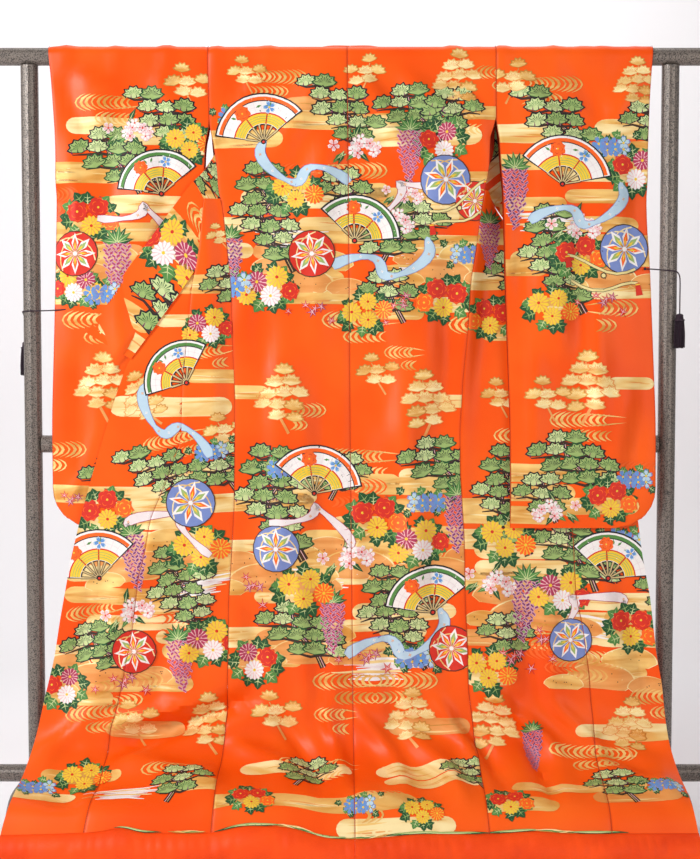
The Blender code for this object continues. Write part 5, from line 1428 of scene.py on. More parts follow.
def lay_figures(panel, placed, threads_made, hidden=None):
    """One mesh with all the figures that fall on a panel, cut off cleanly at its seams. Each figure is
    cut along the panel's own grid, so that it lies on the cloth without a gap at any crease."""
    sizes = given_sizes()
    low_x, high_x = min(panel.left.min(), panel.right.min()), max(panel.left.max(), panel.right.max())
    top, end = panel.vs[0], panel.vs[-1]
    lists, tag_lists = [], []
    for shape, x, drop, size, turn, mirror, layer, way in placed:
        near_x = low_x - FIGURE_REACH < x < high_x + FIGURE_REACH
        if not near_x or not top - FIGURE_REACH < drop < end + FIGURE_REACH:
            continue
        corners, tags = shape
        c, s = cos(turn), sin(turn)
        px, py = corners[..., 0] * (-size if mirror else size), corners[..., 1] * size
        lists.append(np.stack((x + px * c - py * s, drop - way * (px * s + py * c)), axis=-1))
        tag_lists.append(tags + (0, layer))
    if not lists:
        return None
    corners, tags = np.concatenate(lists), np.concatenate(tag_lists)
    spots = np.stack((panel.share_at(corners[..., 0], corners[..., 1]), corners[..., 1]), axis=-1)
    low, high = spots.min(1), spots.max(1)
    near = (high[:, 0] > 0) & (low[:, 0] < 1) & (high[:, 1] > top) & (low[:, 1] < end)
    # The painted seam shade goes in with the figures, on the top layer.
    spots, tags = np.concatenate((spots[near], panel.painted_seam_shade())), np.concatenate((tags[near], panel.painted_seam_shade_tags()))
    spots, tags = cut_on_lines(spots, tags, panel.us, 0)
    spots, tags = cut_on_lines(spots, tags, panel.vs, 1)
    centre = spots.mean(axis=1)
    keep = (centre[:, 0] > 0) & (centre[:, 0] < 1) & (centre[:, 1] > top) & (centre[:, 1] < end)
    if hidden is not None:
        left, right = panel.sides_at(centre[:, 1])
        keep &= ~hidden(left + (right - left) * centre[:, 0], centre[:, 1])
    spots, tags = spots[keep], tags[keep]
    i, j, s, t = panel.cell_of(spots)
    bent = panel.twist(i, j)[:, 0] * np.ptp(s, axis=1) * np.ptp(t, axis=1) > FLAT
    spots, tags = cut_where(spots, tags, (s - t) * bent[:, None])
    wide = spots * (panel.flat_width, 1.0)
    area = np.abs(np.cross(wide[:, 1] - wide[:, 0], wide[:, 2] - wide[:, 0])) / 2
    spots, tags = spots[area > SLIVER], tags[area > SLIVER]
    lift = sizes.figure_lift + sizes.layer_step * tags[:, 1]
    points, normals = panel.on_face(spots, lift)
    # Corners at one place, to a micron, in one layer and thread become one point.
    flat = np.round(spots.reshape(-1, 2) * (panel.flat_width * 1e6, 1e6)).astype(np.int64) + (0, 3_000_000)
    codes = (tags * (1, 100)).astype(np.int64)
    keys = ((flat[:, 1] * 400_000 + flat[:, 0]) * 12_000 + np.repeat(codes[:, 1], 3)) * 30 + np.repeat(codes[:, 0], 3)
    _, first, index = np.unique(keys, return_index=True, return_inverse=True)
    index = index.reshape(-1, 3)
    points, normals = points.reshape(-1, 3)[first], normals.reshape(-1, 3)[first]
    fair = (index[:, 0] != index[:, 1]) & (index[:, 1] != index[:, 2]) & (index[:, 0] != index[:, 2])
    index, names = index[fair], tags[fair, 0].astype(int)
    a, b, c = (points[index[:, k]] for k in range(3))
    turned = np.sum(np.cross(b - a, c - a) * normals[index[:, 0]], axis=1) < 0
    index[turned] = index[turned][:, ::-1]
    used = sorted(set(names.tolist()))
    marks = np.searchsorted(used, names)
    obj = mesh_object(f"figures_{panel.name}", points, index, [threads_made[THREAD_NAMES[k]] for k in used], marks)
    obj.data.normals_split_custom_set_from_vertices(normals.tolist())
    return obj


# ---- Finishes ----


def feed(tree, made, inputs):
    """Gives a node's inputs their values, or the outputs that feed them."""
    for key, value in inputs.items():
        if isinstance(value, bpy.types.NodeSocket):
            tree.links.new(value, made.inputs[key])
        else:
            made.inputs[key].default_value = value


def node(tree, kind, inputs=None, **settings):
    made = tree.nodes.new(kind)
    for key, value in settings.items():
        setattr(made, key, value)
    feed(tree, made, inputs or {})
    return made


def spaced(values):
    """Socket names from keywords."""
    return {key.replace("_", " "): value for key, value in values.items()}


def math_node(tree, operation, a, b):
    return node(tree, "ShaderNodeMath", {0: a, 1: b}, operation=operation).outputs[0]


def times(tree, a, b):
    return math_node(tree, "MULTIPLY", a, b)


def noise(tree, place, scale, **values):
    return node(tree, "ShaderNodeTexNoise", {"Vector": place, "Scale": scale, **spaced(values)}).outputs["Fac"]


def wave(tree, place, scale, way, **values):
    inputs = {"Vector": place, "Scale": scale, **spaced(values)}
    return node(tree, "ShaderNodeTexWave", inputs, bands_direction=way).outputs["Fac"]


def ramp(tree, source, spread, *tones):
    """A source spread between two of its values, and coloured from one tone to another."""
    made = node(tree, "ShaderNodeValToRGB", {"Fac": source})
    for stop, at in zip(made.color_ramp.elements, spread):
        stop.position = at
    for stop, tone in zip(made.color_ramp.elements, tones):
        stop.color = (*tone, 1)
    return made.outputs["Color"]


def new_group(name, outputs, **inputs):
    """A group that takes and gives plain numbers, with its inputs and the place on the piece."""
    group = bpy.data.node_groups.new(name, "ShaderNodeTree")
    for key, value in inputs.items():
        group.interface.new_socket(key, in_out="INPUT", socket_type="NodeSocketFloat").default_value = value
    for key in outputs:
        group.interface.new_socket(key, in_out="OUTPUT", socket_type="NodeSocketFloat")
    return group, node(group, "NodeGroupInput").outputs, node(group, "ShaderNodeTexCoord").outputs["Object"]


def weave_group():
    """Satin weave: long floats in broken steps, with a slow drift of tone, which lays the satin's painted sheen and the
    hem's painted shade.
    """
    group, given, place = new_group("satin_weave", ("Height", "Shade"), Scale=1.0, Drift=4.0)
    floats = wave(group, place, times(group, given["Scale"], 420.0), "DIAGONAL", Distortion=1.2, Detail=1.0)
    slub = noise(group, place, times(group, given["Scale"], 900.0))
    drift = noise(group, place, given["Drift"], Detail=3.0)
    node(group, "NodeGroupOutput", {
        "Height": math_node(group, "ADD", times(group, floats, 0.6), times(group, slub, 0.4)),
        "Shade": math_node(group, "ADD", drift, times(group, floats, 0.12)),
    })
    return group


def floss_group():
    """Woven or couched floss: fine side-by-side threads, some darker."""
    group, given, place = new_group("floss", ("Height", "Shade"), Scale=1.0)
    rows = wave(group, place, times(group, given["Scale"], 260.0), "Z", Distortion=2.0, Detail=2.0, Detail_Scale=3.0)
    patch = noise(group, place, times(group, given["Scale"], 70.0), Detail=2.0)
    shade = math_node(group, "ADD", times(group, rows, 0.45), times(group, patch, 0.55))
    node(group, "NodeGroupOutput", {"Height": rows, "Shade": shade})
    return group


def gold_sheen_group():
    """Painted sheen of the gold: long soft streaks of a paler and a deeper gold, over fine threads."""
    group, given, place = new_group("painted_gold_sheen", ("Height", "Shade"), Scale=1.0)
    stretch = {"Vector": place, "Scale": (7.0, 7.0, 42.0), "Rotation": (0.0, 0.12, 0.0)}
    stretched = node(group, "ShaderNodeMapping", stretch).outputs["Vector"]
    painted_sheen = noise(group, stretched, given["Scale"], Detail=2.5, Distortion=0.6)
    rows = wave(group, place, 300.0, "Z", Distortion=2.0)
    shade = math_node(group, "ADD", painted_sheen, times(group, rows, 0.1))
    node(group, "NodeGroupOutput", {"Height": rows, "Shade": shade})
    return group


def speck_group():
    """Hammered paint: small dark pits in a paler skin."""
    group, given, place = new_group("hammered_paint", ("Height", "Speck"), Scale=1.0)
    cells = node(group, "ShaderNodeTexVoronoi", {"Vector": place, "Scale": times(group, given["Scale"], 300.0)})
    dots = noise(group, place, times(group, given["Scale"], 190.0), Detail=4.0)
    speck = ramp(group, dots, (0.46, 0.62))
    node(group, "NodeGroupOutput", {"Height": cells.outputs["Distance"], "Speck": speck})
    return group


def finish(name, group, values, tones, shade="Shade", spread=(0.3, 0.7), rough=0.45, bump=0.15, depth=0.0004,
           **constants):
    """A material that mixes two colours by a group's shade, with the group's height as bump."""
    made = bpy.data.materials.new(name)
    made.use_nodes = True
    tree = made.node_tree
    pattern = node(tree, "ShaderNodeGroup", values, node_tree=group).outputs
    relief = node(tree, "ShaderNodeBump", {"Strength": bump, "Distance": depth, "Height": pattern["Height"]})
    gloss = math_node(tree, "ADD", times(tree, pattern[shade], 0.12), rough - 0.06)
    feed(tree, tree.nodes["Principled BSDF"], {
        "Base Color": ramp(tree, pattern[shade], spread, *tones), "Normal": relief.outputs["Normal"],
        "Roughness": gloss, **spaced(constants),
    })
    return made


def two_tones(tone, share):
    """A colour and a share of it."""
    return tone, tuple(share * c for c in tone)


@cache
def finishes():
    """The finishes, made once for the whole garment."""
    tones = bpy.context.scene.kimono_colours
    weave, floss, specks, painted_sheen = weave_group(), floss_group(), speck_group(), gold_sheen_group()
    made = {
        # The satin mixes in its painted sheen, a paler orange, where the weave's drift is high.
        "satin": finish("satin_ground", weave, {"Scale": 1.0, "Drift": 3.4}, (tones.satin, tones.satin_painted_sheen), "Shade",
                        (0.42, 0.86), 0.37, 0.16, Specular_IOR_Level=SILK_GLOSS),
        "lining": finish("lining_silk", weave, {"Scale": 1.3, "Drift": 5.0}, two_tones(tones.lining, 0.82), "Shade",
                         (0.35, 0.8), 0.46, 0.2, Specular_IOR_Level=SILK_GLOSS),
        # The hem mixes in its painted shade, a darker orange, where the weave's drift is high.
        "hem": finish("padded_hem_silk", weave, {"Scale": 1.2, "Drift": 9.0}, (tones.hem, tones.hem_painted_shade), "Shade",
                      (0.4, 0.85), 0.46, 0.3, Specular_IOR_Level=SILK_GLOSS),
        "tie": finish("tie_silk", floss, {"Scale": 2.2}, two_tones(tones.tie, 0.55), "Shade", (0.3, 0.75), 0.5, 0.5,
                      0.0005, Specular_IOR_Level=0.4),
        "paint": finish("hammered_paint", specks, {"Scale": 2.1}, (tones.paint, tones.paint_speck), "Speck",
                        (0.1, 0.9), 0.36, 0.4, 0.0006, Metallic=0.25, Specular_IOR_Level=0.6),
        "rubber": finish("black_rubber", specks, {"Scale": 1.6}, two_tones(tones.rubber, 1.8), "Speck", (0.0, 1.0),
                         0.66, 0.3, 0.0003),
    }
    for name, yarn in THREADS.items():
        # The golds and amber take painted sheen: soft streaks of their paler and deeper tones, mixed by stretched
        # noise.
        has_painted_sheen = "gold" in name or name == "amber"
        made[name] = finish(
            f"thread_{name}", painted_sheen if has_painted_sheen else floss, {"Scale": 1.0}, (thread(yarn.main), thread(yarn.second)),
            "Shade", (0.42, 0.7) if has_painted_sheen else (0.38, 0.92), yarn.rough, 0.3, 0.0005, Metallic=yarn.metal,
            Specular_IOR_Level=0.3,
        )
    return made


# ---- The garment's pieces ----


def hanging_panels():
    bottom, low = float(drop_at(HEM_TOP_Z)), float(drop_at(0.33))
    rows = {
        "back_left": (edge_line(SIDE_LEFT, SEAM), edge_line(CENTRE_SEAM, -SEAM), no_offset, BACK_WIDTH, 0.0, ()),
        "back_right": (edge_line(CENTRE_SEAM, SEAM), edge_line(SIDE_RIGHT, -SEAM), no_offset, BACK_WIDTH, 0.0, ()),
        "front_left": (edge_line(TUCK_LEFT, SEAM), edge_line(SIDE_LEFT, -SEAM), tuck_offset_left, FRONT_WIDTH,
                       float(drop_at(1.38)), ()),
        "front_right": (edge_line(SIDE_RIGHT, SEAM), edge_line(OKUMI_SEAM_RIGHT, -SEAM), offset_right, FRONT_WIDTH,
                        float(drop_at(1.398)), ()),
        "okumi_left": (edge_line(FRONT_EDGE_LEFT, GAP), okumi_inner_left, okumi_offset_left, OKUMI_WIDTH,
                       float(drop_at(1.222)), ("left",)),
        "okumi_right": (edge_line(OKUMI_SEAM_RIGHT, SEAM), edge_line(FRONT_EDGE_RIGHT, -GAP), offset_right, OKUMI_WIDTH,
                        float(drop_at(1.19)), ("right",)),
    }
    return {
        name: Panel(name, hanging_face(left, right, offset), width, start, bottom, free=free, low=low)
        for name, (left, right, offset, width, start, free) in rows.items()
    }


def sleeve_panels():
    reach = SLEEVE_ARC / 2 + SLEEVE_RUN
    left = sleeve_face([Edge(e.z, e.x - GAP / 2) for e in SLEEVE_INNER_LEFT], SLEEVE_OUTER_LEFT, SLEEVE_NEAR_LEFT,
                       SLEEVE_FAR_LEFT, -1)
    right = sleeve_face([Edge(e.z, e.x + GAP / 2) for e in SLEEVE_INNER_RIGHT], SLEEVE_OUTER_RIGHT,
                        SLEEVE_NEAR_RIGHT, SLEEVE_FAR_RIGHT, 1)
    return {
        "sleeve_left": Panel("sleeve_left", left, SLEEVE_WIDTH, -reach, reach, flip=True),
        "sleeve_right": Panel("sleeve_right", right, SLEEVE_WIDTH, -reach, reach),
    }


def shoulder_panels():
    made = {}
    for name, inner, outer, z_low, flip in (
        ("shoulder_left", edge_line(SHOULDER_INNER_LEFT), edge_line(SHOULDER_OUTER_LEFT, GAP / 2), 1.392, False),
        ("shoulder_right", edge_line(SHOULDER_INNER_RIGHT), edge_line(SHOULDER_OUTER_RIGHT, -GAP / 2), 1.427, True),
    ):
        face, span = shoulder_face(inner, outer, z_low)
        made[name] = Panel(name, face, SHOULDER_WIDTH, GAP, span, flip=flip)
    return made


def collar_panels():
    made = {}
    for name, stations, depth, z_hung in (
        ("collar_left", COLLAR_LEFT, collar_depth_left, 1.42),
        ("collar_right", COLLAR_RIGHT, collar_depth_right, 1.41),
    ):
        panel = Panel(name, collar_face(stations, depth, z_hung), COLLAR_WIDTH, 0.0, COLLAR_LENGTH,
                      (-COLLAR_T / 2, COLLAR_T / 2), COLLAR_LENGTH, free=("left", "right"))
        low = panel.normals[len(panel.vs) * 3 // 4:, :, 1]
        if float(low.mean()) > 0:
            panel.normals = -panel.normals
        made[name] = panel
    return made


@cache
def garment_panels():
    return {**hanging_panels(), **sleeve_panels(), **shoulder_panels(), **collar_panels()}


def covered_sleeve_left(x, drop):
    """The part of the left sleeve's near wall that lies under the collar and the front."""
    z = RAIL_Z - (drop - SLEEVE_ARC / 2)
    collar_edge = np.interp(z, [s.edge[2] for s in COLLAR_LEFT[::-1]], [s.edge[0] for s in COLLAR_LEFT[::-1]])
    line = np.where(z > 1.1, collar_edge, along(FRONT_EDGE_LEFT, z))
    return (drop > 0) & (z < 1.44) & (x > line + 0.008)


def covered_okumi_left(x, drop):
    z = height_at(drop)
    return (z > TUCK_END_Z - 0.02) & (x > along(TUCK_LEFT, z) - 0.001)


def covered_front_right(x, drop):
    z = height_at(drop)
    return (z > 0.72) & (x > along(SLEEVE_INNER_RIGHT, z) + 0.03)


def covered_neck(x, drop):
    """The bare start of each collar half, at the back of the neck."""
    return drop < 0.1


def body_drop(z):
    return float(drop_at(z))


def near_sleeve_drop(z):
    return SLEEVE_ARC / 2 + RAIL_Z - z


def sleeve_placed(places, side, seed):
    """Figures down the near wall, and again mirrored in another order down the far wall."""
    middle = side * SLEEVE_MIDDLE
    flipped = [(kind, 2000 * middle - x, z, -size, -turn) for kind, x, z, size, turn in places[::2]]
    placed = placed_figures(places, near_sleeve_drop, seed)
    placed += placed_figures(flipped, lambda z: -near_sleeve_drop(z), seed + 1, -1)
    return [row for row in placed if abs(row[2]) > 0.012]


def lay_collar(seed):
    """Figures and haze along a collar band."""
    pick = random.Random(seed)
    banks = all_figures()[1]
    placed = []
    place = 0.2
    while place < 0.88:
        if pick.random() < 0.25 + 0.35 * place:
            placed.append((pick.choice(banks), pick.choice((-0.045, 0.115)), place, 0.7, pick.uniform(-0.1, 0.1), False,
                           (len(placed) % 4) * 2, 1))
        place += 0.03
    return placed + placed_figures(COLLAR_PLACES, lambda z: -z, seed)


def make_sheet(name, placed, hidden=None, inner="lining"):
    """A panel's cloth with its figures, laid out as its cut."""
    made, panel = finishes(), garment_panels()[name]
    figures = lay_figures(panel, placed, made, hidden)
    obj = panel.build(made["satin"], made[inner])
    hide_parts(panel.name)
    return obj


def hem_roll(name, x_start, x_end, seed, finish_made):
    """A length of padded hem: an oval roll with fine gathers under its seam and soft dents along it."""
    sizes = given_sizes()
    pick = random.Random(seed)
    around = 30
    count = round((x_end - x_start) / HEM_STEP)
    xs = np.linspace(x_start, x_end, count + 1)
    top = hem_z(xs) - SEAM
    half = (top - FLOOR_CLEAR) / 2
    turn = 2 * pi * np.arange(around) / around
    phase, phases = 0.0, []
    for _ in xs:
        phase += HEM_STEP / pick.uniform(0.012, 0.036) * 2 * pi
        phases.append(phase)
    phases = np.array(phases)[:, None]
    high = ease((np.sin(turn) + 0.35) / 1.1)[None, :]
    swell = (0.45 + 0.55 * np.sin(xs * 31 + seed) * np.sin(xs * 17 + 2 * seed))[:, None]
    pull = sizes.gather * swell * (0.5 + 0.5 * np.sin(phases + 1.3 * np.sin(turn)[None, :])) * (0.35 + 0.65 * high)
    for x0, place, wide, deep in hem_dents(seed):
        away = (xs[:, None] - x0 - 0.03 * np.sin(turn)[None, :]) / wide
        facing = np.exp(-(((turn[None, :] - place + pi) % (2 * pi) - pi) / 0.55) ** 2)
        pull = pull + deep * np.exp(-away * away) * facing
    pull = pull * (1 - ease((np.sin(turn) - 0.9) / 0.09))[None, :]
    radius_y = ROLL_HALF_DEPTH - pull
    lean = (depth_at(drop_at(top)) + 0.001 - ROLL_Y)[:, None]
    y = ROLL_Y + radius_y * np.cos(turn)[None, :] + lean * np.maximum(np.sin(turn), 0)[None, :] ** 2
    z = FLOOR_CLEAR + half[:, None] + (half[:, None] - pull) * np.sin(turn)[None, :]
    x = np.broadcast_to(xs[:, None], y.shape)
    points = np.stack((x, y, z), axis=-1).reshape(-1, 3)
    grid = np.arange(len(points)).reshape(len(xs), around)
    following = np.roll(grid, -1, axis=1)
    faces = np.stack((grid[:-1], following[:-1], following[1:], grid[1:]), axis=-1).reshape(-1, 4).tolist()
    faces += [grid[0, ::-1].tolist(), grid[-1].tolist()]
    obj = mesh_from_lists(name, points, faces, finish_made)
    mark_sharp(obj, 55)
    return obj


def hem_dents(seed):
    """Uneven soft dents: place along, place around, width and depth."""
    rows = (
        (0.06, 3.3, 0.018, 0.0026), (0.13, 2.7, 0.012, 0.002), (0.19, 3.6, 0.022, 0.003), (0.27, 2.9, 0.015, 0.0022),
        (0.33, 3.4, 0.011, 0.0024), (0.41, 2.6, 0.02, 0.0026), (0.47, 3.5, 0.013, 0.002), (0.55, 3.0, 0.017, 0.003),
        (0.62, 3.5, 0.012, 0.0022), (0.68, 2.8, 0.019, 0.0024),
    )
    if seed % 2:
        return [(-0.71 + x, place, wide, deep) for x, place, wide, deep in rows]
    return [(0.015 + x * 0.98, 6.2 - place, wide, deep) for x, place, wide, deep in rows]


def mesh_from_lists(name, points, faces, finish_made):
    """As mesh_object, for faces of any number of sides, with its faces turned outward."""
    mesh = bpy.data.meshes.new(name)
    bm = bmesh.new()
    corners = [bm.verts.new((p[0], p[1] + RACK_Y, p[2])) for p in points]
    for face in faces:
        bm.faces.new([corners[i] for i in face])
    bmesh.ops.recalc_face_normals(bm, faces=bm.faces)
    bm.to_mesh(mesh)
    bm.free()
    mesh.materials.append(finish_made)
    mesh.shade_smooth()
    return add_object(name, mesh)


def lathe(points, faces, profile, centre, sides):
    """Adds a turned solid's rings to point and face lists."""
    start = len(points)
    for radius, height in profile:
        for k in range(sides):
            t = 2 * pi * k / sides
            points.append((centre[0] + radius * cos(t), centre[1] + radius * sin(t), centre[2] + height))
    for r in range(len(profile) - 1):
        for k in range(sides):
            m = (k + 1) % sides
            a, b = start + r * sides, start + (r + 1) * sides
            faces.append((a + k, a + m, b + m, b + k))
    faces.append(tuple(start + k for k in range(sides))[::-1])
    faces.append(tuple(start + (len(profile) - 1) * sides + k for k in range(sides)))


def tassel(name, top, seed, finish_made):
    """A tassel: a head bound with wound thread, over a full skirt of strands."""
    sizes = given_sizes()
    pick = random.Random(seed)
    points, faces = [], []
    r, h = TASSEL_HEAD_R, TASSEL_HEAD_HEIGHT
    profile = [(r * 1.22, -h), (r * 1.3, -h * 0.88), (r * 1.28, -h * 0.78)]
    for k in range(7):
        z = -h * (0.74 - 0.062 * k)
        profile += [(r * (1.06 - 0.02 * k), z), (r * (0.98 - 0.02 * k), z + h * 0.031)]
    profile += [(r * 0.94, -h * 0.27), (r * 0.9, -h * 0.16), (r * 0.62, -h * 0.05), (r * 0.25, 0.0)]
    lathe(points, faces, profile, top, 20)
    count = sizes.strands
    for k in range(count):
        share = sqrt((k + 0.5) / count)
        turn = k * STRAND_TURN
        ring = TASSEL_R * share
        out = Vector((cos(turn), sin(turn), 0))
        drop = TASSEL_LENGTH - 0.0024 - pick.uniform(0, 0.003)
        line = []
        for i in range(STRAND_STEPS + 1):
            t = i / STRAND_STEPS
            spread = ring * (0.92 + 0.26 * sin(min(t, 0.8) * 2.0))
            sway = Vector((pick.uniform(-1, 1), pick.uniform(-1, 1), 0)) * 0.0004 * t
            line.append(Vector(top) + out * spread + sway + Vector((0, 0, -h + 0.0025 - (drop - h) * t)))
        start = len(points)
        for i, centre in enumerate(line):
            size = STRAND_R * (1.0 if i < STRAND_STEPS else 0.6)
            for m in range(4):
                a = turn + pi / 2 * m
                points.append(tuple(centre + Vector((size * cos(a), size * sin(a), 0))))
        for i in range(STRAND_STEPS):
            for m in range(4):
                n = (m + 1) % 4
                a, b = start + i * 4, start + (i + 1) * 4
                faces.append((a + m, a + n, b + n, b + m))
        faces.append(tuple(start + m for m in range(4))[::-1])
        faces.append(tuple(start + 4 * STRAND_STEPS + m for m in range(4)))
    return mesh_from_lists(name, points, faces, finish_made)


def knot(name, centre, radius, finish_made):
    """A small tied knot: a ball with a turn of cord round it."""
    points, faces = [], []
    ball = [(max(radius * sin(pi * i / 10), radius * 0.1), -radius * cos(pi * i / 10)) for i in range(11)]
    ball = [(r * (1 + 0.08 * sin(6 * i)), h) for i, (r, h) in enumerate(ball)]
    lathe(points, faces, ball, centre, 16)
    return mesh_from_lists(name, points, faces, finish_made)


def tie_cord(name, route, finish_made):
    """A round silk cord along its route, as one open spline."""
    sizes = given_sizes()
    curve = bpy.data.curves.new(name, "CURVE")
    curve.dimensions = "3D"
    curve.bevel_depth = sizes.cord
    curve.bevel_resolution = 3
    curve.use_fill_caps = True
    spline = curve.splines.new("POLY")
    x, y, z = route[-1]
    route = (*route, (x, y, z - 0.018), (x, y, z - 0.036))
    points = curve_through(route, np.linspace(0, 1, 66)) + (0.0, RACK_Y, 0.0)
    spline.points.add(len(points) - 1)
    for place, point in zip(spline.points, points.tolist()):
        place.co = (*point, 1.0)
    spline.use_smooth = True
    curve.materials.append(finish_made)
    obj = add_object(name, curve)
    return obj, points, float(np.linalg.norm(np.diff(points, axis=0), axis=1).sum())


# ---- Operators, one for each piece or group ----


class KIMONO_OT_camera(bpy.types.Operator):
    """Set the camera square to the garment's back, a little below its middle"""

    bl_idname = "kimono.camera"
    bl_label = "Camera"

    def execute(self, context):
        data = bpy.data.cameras.new("camera")
        data.sensor_fit = "VERTICAL"
        data.sensor_height = 36.0
        data.lens = 61.4
        obj = bpy.data.objects.new("camera", data)
        obj.location = (0.0, -CAMERA_DISTANCE + RACK_Y, CAMERA_Z)
        obj.rotation_euler = (radians(90 - CAMERA_DIP), 0.0, 0.0)
        context.scene.collection.objects.link(obj)
        context.scene.camera = obj
        return {"FINISHED"}


class KIMONO_OT_ties(bpy.types.Operator):
    """Make the tie cords with their knots and tassels"""

    bl_idname = "kimono.ties"
    bl_label = "Ties and tassels"

    def execute(self, context):
        silk = finishes()["tie"]
        for word, route, spot in (("left", CORD_LEFT, KNOT_LEFT), ("right", CORD_RIGHT, KNOT_RIGHT)):
            cord, points, span = tie_cord(f"tie_{word}", route, silk)
            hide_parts(f"cord_{word}")
            ball = knot(f"tie_knot_{word}", spot, KNOT_R, silk)
            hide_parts(f"knot_{word}")
            x, y, z = route[-1]
            skirt = tassel(f"tie_tassel_{word}", (x, y, z - GAP), 5 if word == "left" else 6, silk)
            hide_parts(f"tassel_{word}")
        return {"FINISHED"}


class KIMONO_OT_body(bpy.types.Operator):
    """Lay the backs, fronts and overlap panels with their woven figures"""

    bl_idname = "kimono.body"
    bl_label = "Body panels"

    def execute(self, context):
        placed = placed_figures(BODY_PLACES, body_drop, 21)
        left = placed_figures(LEFT_FRONT_PLACES, body_drop, 31)
        right = placed_figures(RIGHT_FRONT_PLACES, body_drop, 41)
        for name, rows, hidden in (
            ("back_left", placed, None), ("back_right", placed, None), ("front_left", left, None),
            ("front_right", right, covered_front_right), ("okumi_left", left, covered_okumi_left),
            ("okumi_right", right, covered_front_right),
        ):
            make_sheet(name, rows, hidden)
        return {"FINISHED"}


class KIMONO_OT_sleeves(bpy.types.Operator):
    """Hang the long sleeves over the rail with their woven figures"""

    bl_idname = "kimono.sleeves"
    bl_label = "Sleeves"

    def execute(self, context):
        for name, places, side, seed, hidden in (
            ("sleeve_left", LEFT_SLEEVE_PLACES, -1, 51, covered_sleeve_left),
            ("sleeve_right", RIGHT_SLEEVE_PLACES, 1, 61, None),
        ):
            make_sheet(name, sleeve_placed(places, side, seed), hidden)
        return {"FINISHED"}


class KIMONO_OT_collar(bpy.types.Operator):
    """Fold the collar band round the neck and lay the fronts' shoulder ends over the rail"""

    bl_idname = "kimono.collar"
    bl_label = "Collar and shoulders"

    def execute(self, context):
        for k, name in enumerate(("collar_left", "collar_right")):
            make_sheet(name, lay_collar(71 + k), covered_neck, inner="satin")
        for k, name in enumerate(("shoulder_left", "shoulder_right")):
            side = 200 * (2 * k - 1)
            spots = [("gold_tuft", side, 90, 90, 0), ("garden_gold", side + 20, 200, 90, 0),
                     ("ripples", side - 20, 270, 90, 0)]
            make_sheet(name, placed_figures(spots, lambda z: z, 81 + k), None)
        return {"FINISHED"}


class KIMONO_OT_hem(bpy.types.Operator):
    """Make the two lengths of padded hem"""

    bl_idname = "kimono.hem"
    bl_label = "Padded hem"

    def execute(self, context):
        made = finishes()
        centre = float(along(CENTRE_SEAM, HEM_TOP_Z))
        for name, start, end, seed in (
            ("left", float(along(FRONT_EDGE_LEFT, HEM_TOP_Z)), centre - GAP / 2, 1),
            ("right", centre + GAP / 2, float(along(FRONT_EDGE_RIGHT, HEM_TOP_Z)), 2),
        ):
            roll = hem_roll(f"padded_hem_{name}", start, end, seed, made["hem"])
            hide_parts(f"fuki_{name}")
        return {"FINISHED"}


class KIMONO_OT_rack(bpy.types.Operator):
    """Finish the rack's tubes in hammered paint, and its caps and tips in rubber"""

    bl_idname = "kimono.rack"
    bl_label = "Rack finishes"

    def execute(self, context):
        made = finishes()
        for name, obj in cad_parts.items():
            if name.startswith(("top_cap", "low_cap", "tip_")):
                chosen = made["rubber"]
            elif name.startswith(("top_rail", "mid_rail", "low_", "upright_", "foot_")):
                chosen = made["paint"]
            else:
                continue
            for index in range(max(1, len(obj.material_slots))):
                if not obj.material_slots:
                    obj.data.materials.append(chosen)
                else:
                    obj.material_slots[index].material = chosen
        return {"FINISHED"}


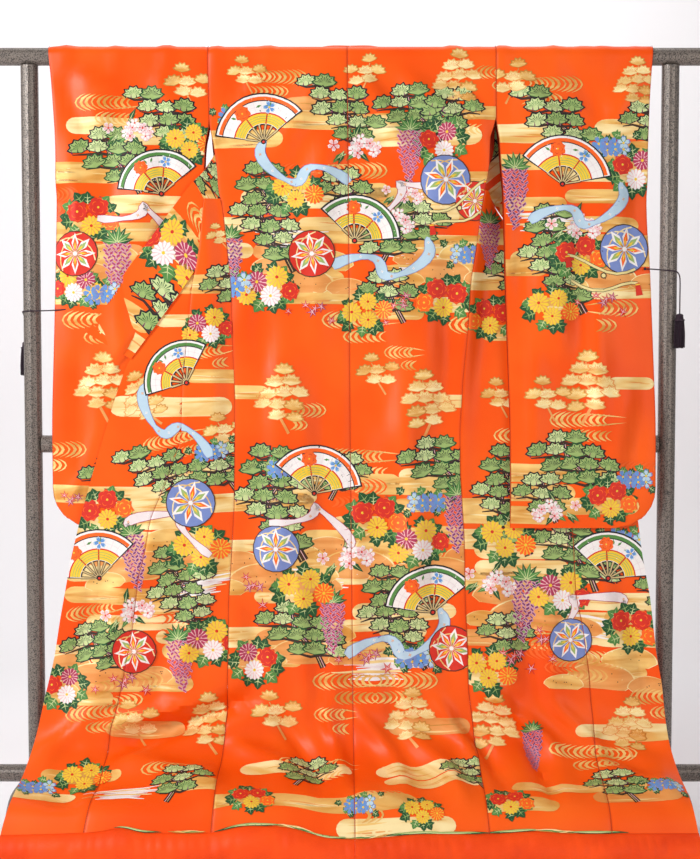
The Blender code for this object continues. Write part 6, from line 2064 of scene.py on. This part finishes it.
class KIMONO_OT_stage(bpy.types.Operator):
    """Set the pale floor, backdrop and soft studio lights"""

    bl_idname = "kimono.stage"
    bl_label = "Stage"

    def execute(self, context):
        tone = context.scene.kimono_colours.floor
        paper = finish("backdrop_paper", weave_group(), {"Scale": 0.3, "Drift": 1.2}, two_tones(tone, 0.96),
                       "Shade", (0.3, 0.8), 0.9, 0.05)
        # Seen from behind, the paper is clear, so that the far side can be looked at.
        tree = paper.node_tree
        mix = node(tree, "ShaderNodeMixShader", {
            "Fac": node(tree, "ShaderNodeNewGeometry").outputs["Backfacing"],
            1: tree.nodes["Principled BSDF"].outputs["BSDF"],
            2: node(tree, "ShaderNodeBsdfTransparent").outputs["BSDF"],
        })
        feed(tree, tree.nodes["Material Output"], {"Surface": mix.outputs["Shader"]})
        mesh = bpy.data.meshes.new("backdrop")
        bm = bmesh.new()
        profile = [(-6.0, 0.0), (1.6, 0.0)]
        profile += [(1.6 + 0.8 * sin(k * pi / 16), 0.8 - 0.8 * cos(k * pi / 16)) for k in range(1, 9)]
        profile += [(2.4, 5.0)]
        rows = [[bm.verts.new((x, y, z)) for x in (-6.0, 6.0)] for y, z in profile]
        for a, b in zip(rows, rows[1:]):
            bm.faces.new((a[0], a[1], b[1], b[0]))
        bm.to_mesh(mesh)
        bm.free()
        mesh.shade_smooth()
        mesh.materials.append(paper)
        obj = bpy.data.objects.new("backdrop", mesh)
        context.scene.collection.objects.link(obj)
        world = context.scene.world = bpy.data.worlds.new("studio")
        world.use_nodes = True
        sky = world.node_tree
        feed(sky, sky.nodes["Background"], {"Color": (0.95, 0.96, 1.0, 1.0), "Strength": 0.325})
        for name, place, aim, size, power in (
            ("key", (-2.9, -2.3, 2.3), (0.0, 0.0, 0.9), 1.3, 124.0),
            ("fill", (2.4, -3.0, 1.8), (0.0, 0.0, 0.8), 2.0, 36.0),
            ("back_wash", (0.0, 0.9, 3.2), (0.0, 2.2, 1.2), 2.0, 33.0),
        ):
            lamp = bpy.data.lights.new(name, "AREA")
            lamp.shape = "SQUARE"
            lamp.size = size
            lamp.energy = power
            lamp.color = (1.0, 0.94, 0.88) if name == "fill" else (1.0, 1.0, 1.0)
            light = bpy.data.objects.new(name, lamp)
            light.location = place
            light.rotation_euler = (Vector(aim) - Vector(place)).to_track_quat("-Z", "Y").to_euler()
            context.scene.collection.objects.link(light)
        context.scene.view_settings.view_transform = "Standard"
        return {"FINISHED"}


STEPS = (
    KIMONO_OT_camera, KIMONO_OT_ties, KIMONO_OT_body, KIMONO_OT_sleeves, KIMONO_OT_collar, KIMONO_OT_hem,
    KIMONO_OT_rack, KIMONO_OT_stage,
)


class KIMONO_PT_pieces(bpy.types.Panel):
    """The garment's sizes, colours and steps"""

    bl_idname = "KIMONO_PT_pieces"
    bl_label = "Kimono"
    bl_space_type = "VIEW_3D"
    bl_region_type = "UI"
    bl_category = "Kimono"

    def draw(self, context):
        for group in (context.scene.kimono_sizes, context.scene.kimono_colours):
            for key in group.bl_rna.properties.keys():
                if key not in ("rna_type", "name"):
                    self.layout.prop(group, key)
        for step in STEPS:
            self.layout.operator(step.bl_idname)


CLASSES = (KimonoSizes, KimonoColours, *STEPS, KIMONO_PT_pieces)


def register():
    for made in CLASSES:
        bpy.utils.register_class(made)
    bpy.types.Scene.kimono_sizes = PointerProperty(type=KimonoSizes)
    bpy.types.Scene.kimono_colours = PointerProperty(type=KimonoColours)


def unregister():
    del bpy.types.Scene.kimono_colours
    del bpy.types.Scene.kimono_sizes
    for made in reversed(CLASSES):
        bpy.utils.unregister_class(made)


def main():
    register()
    for step in STEPS:
        group, name = step.bl_idname.split(".")
        getattr(getattr(bpy.ops, group), name)()
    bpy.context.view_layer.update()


if __name__ == "__main__":
    main()
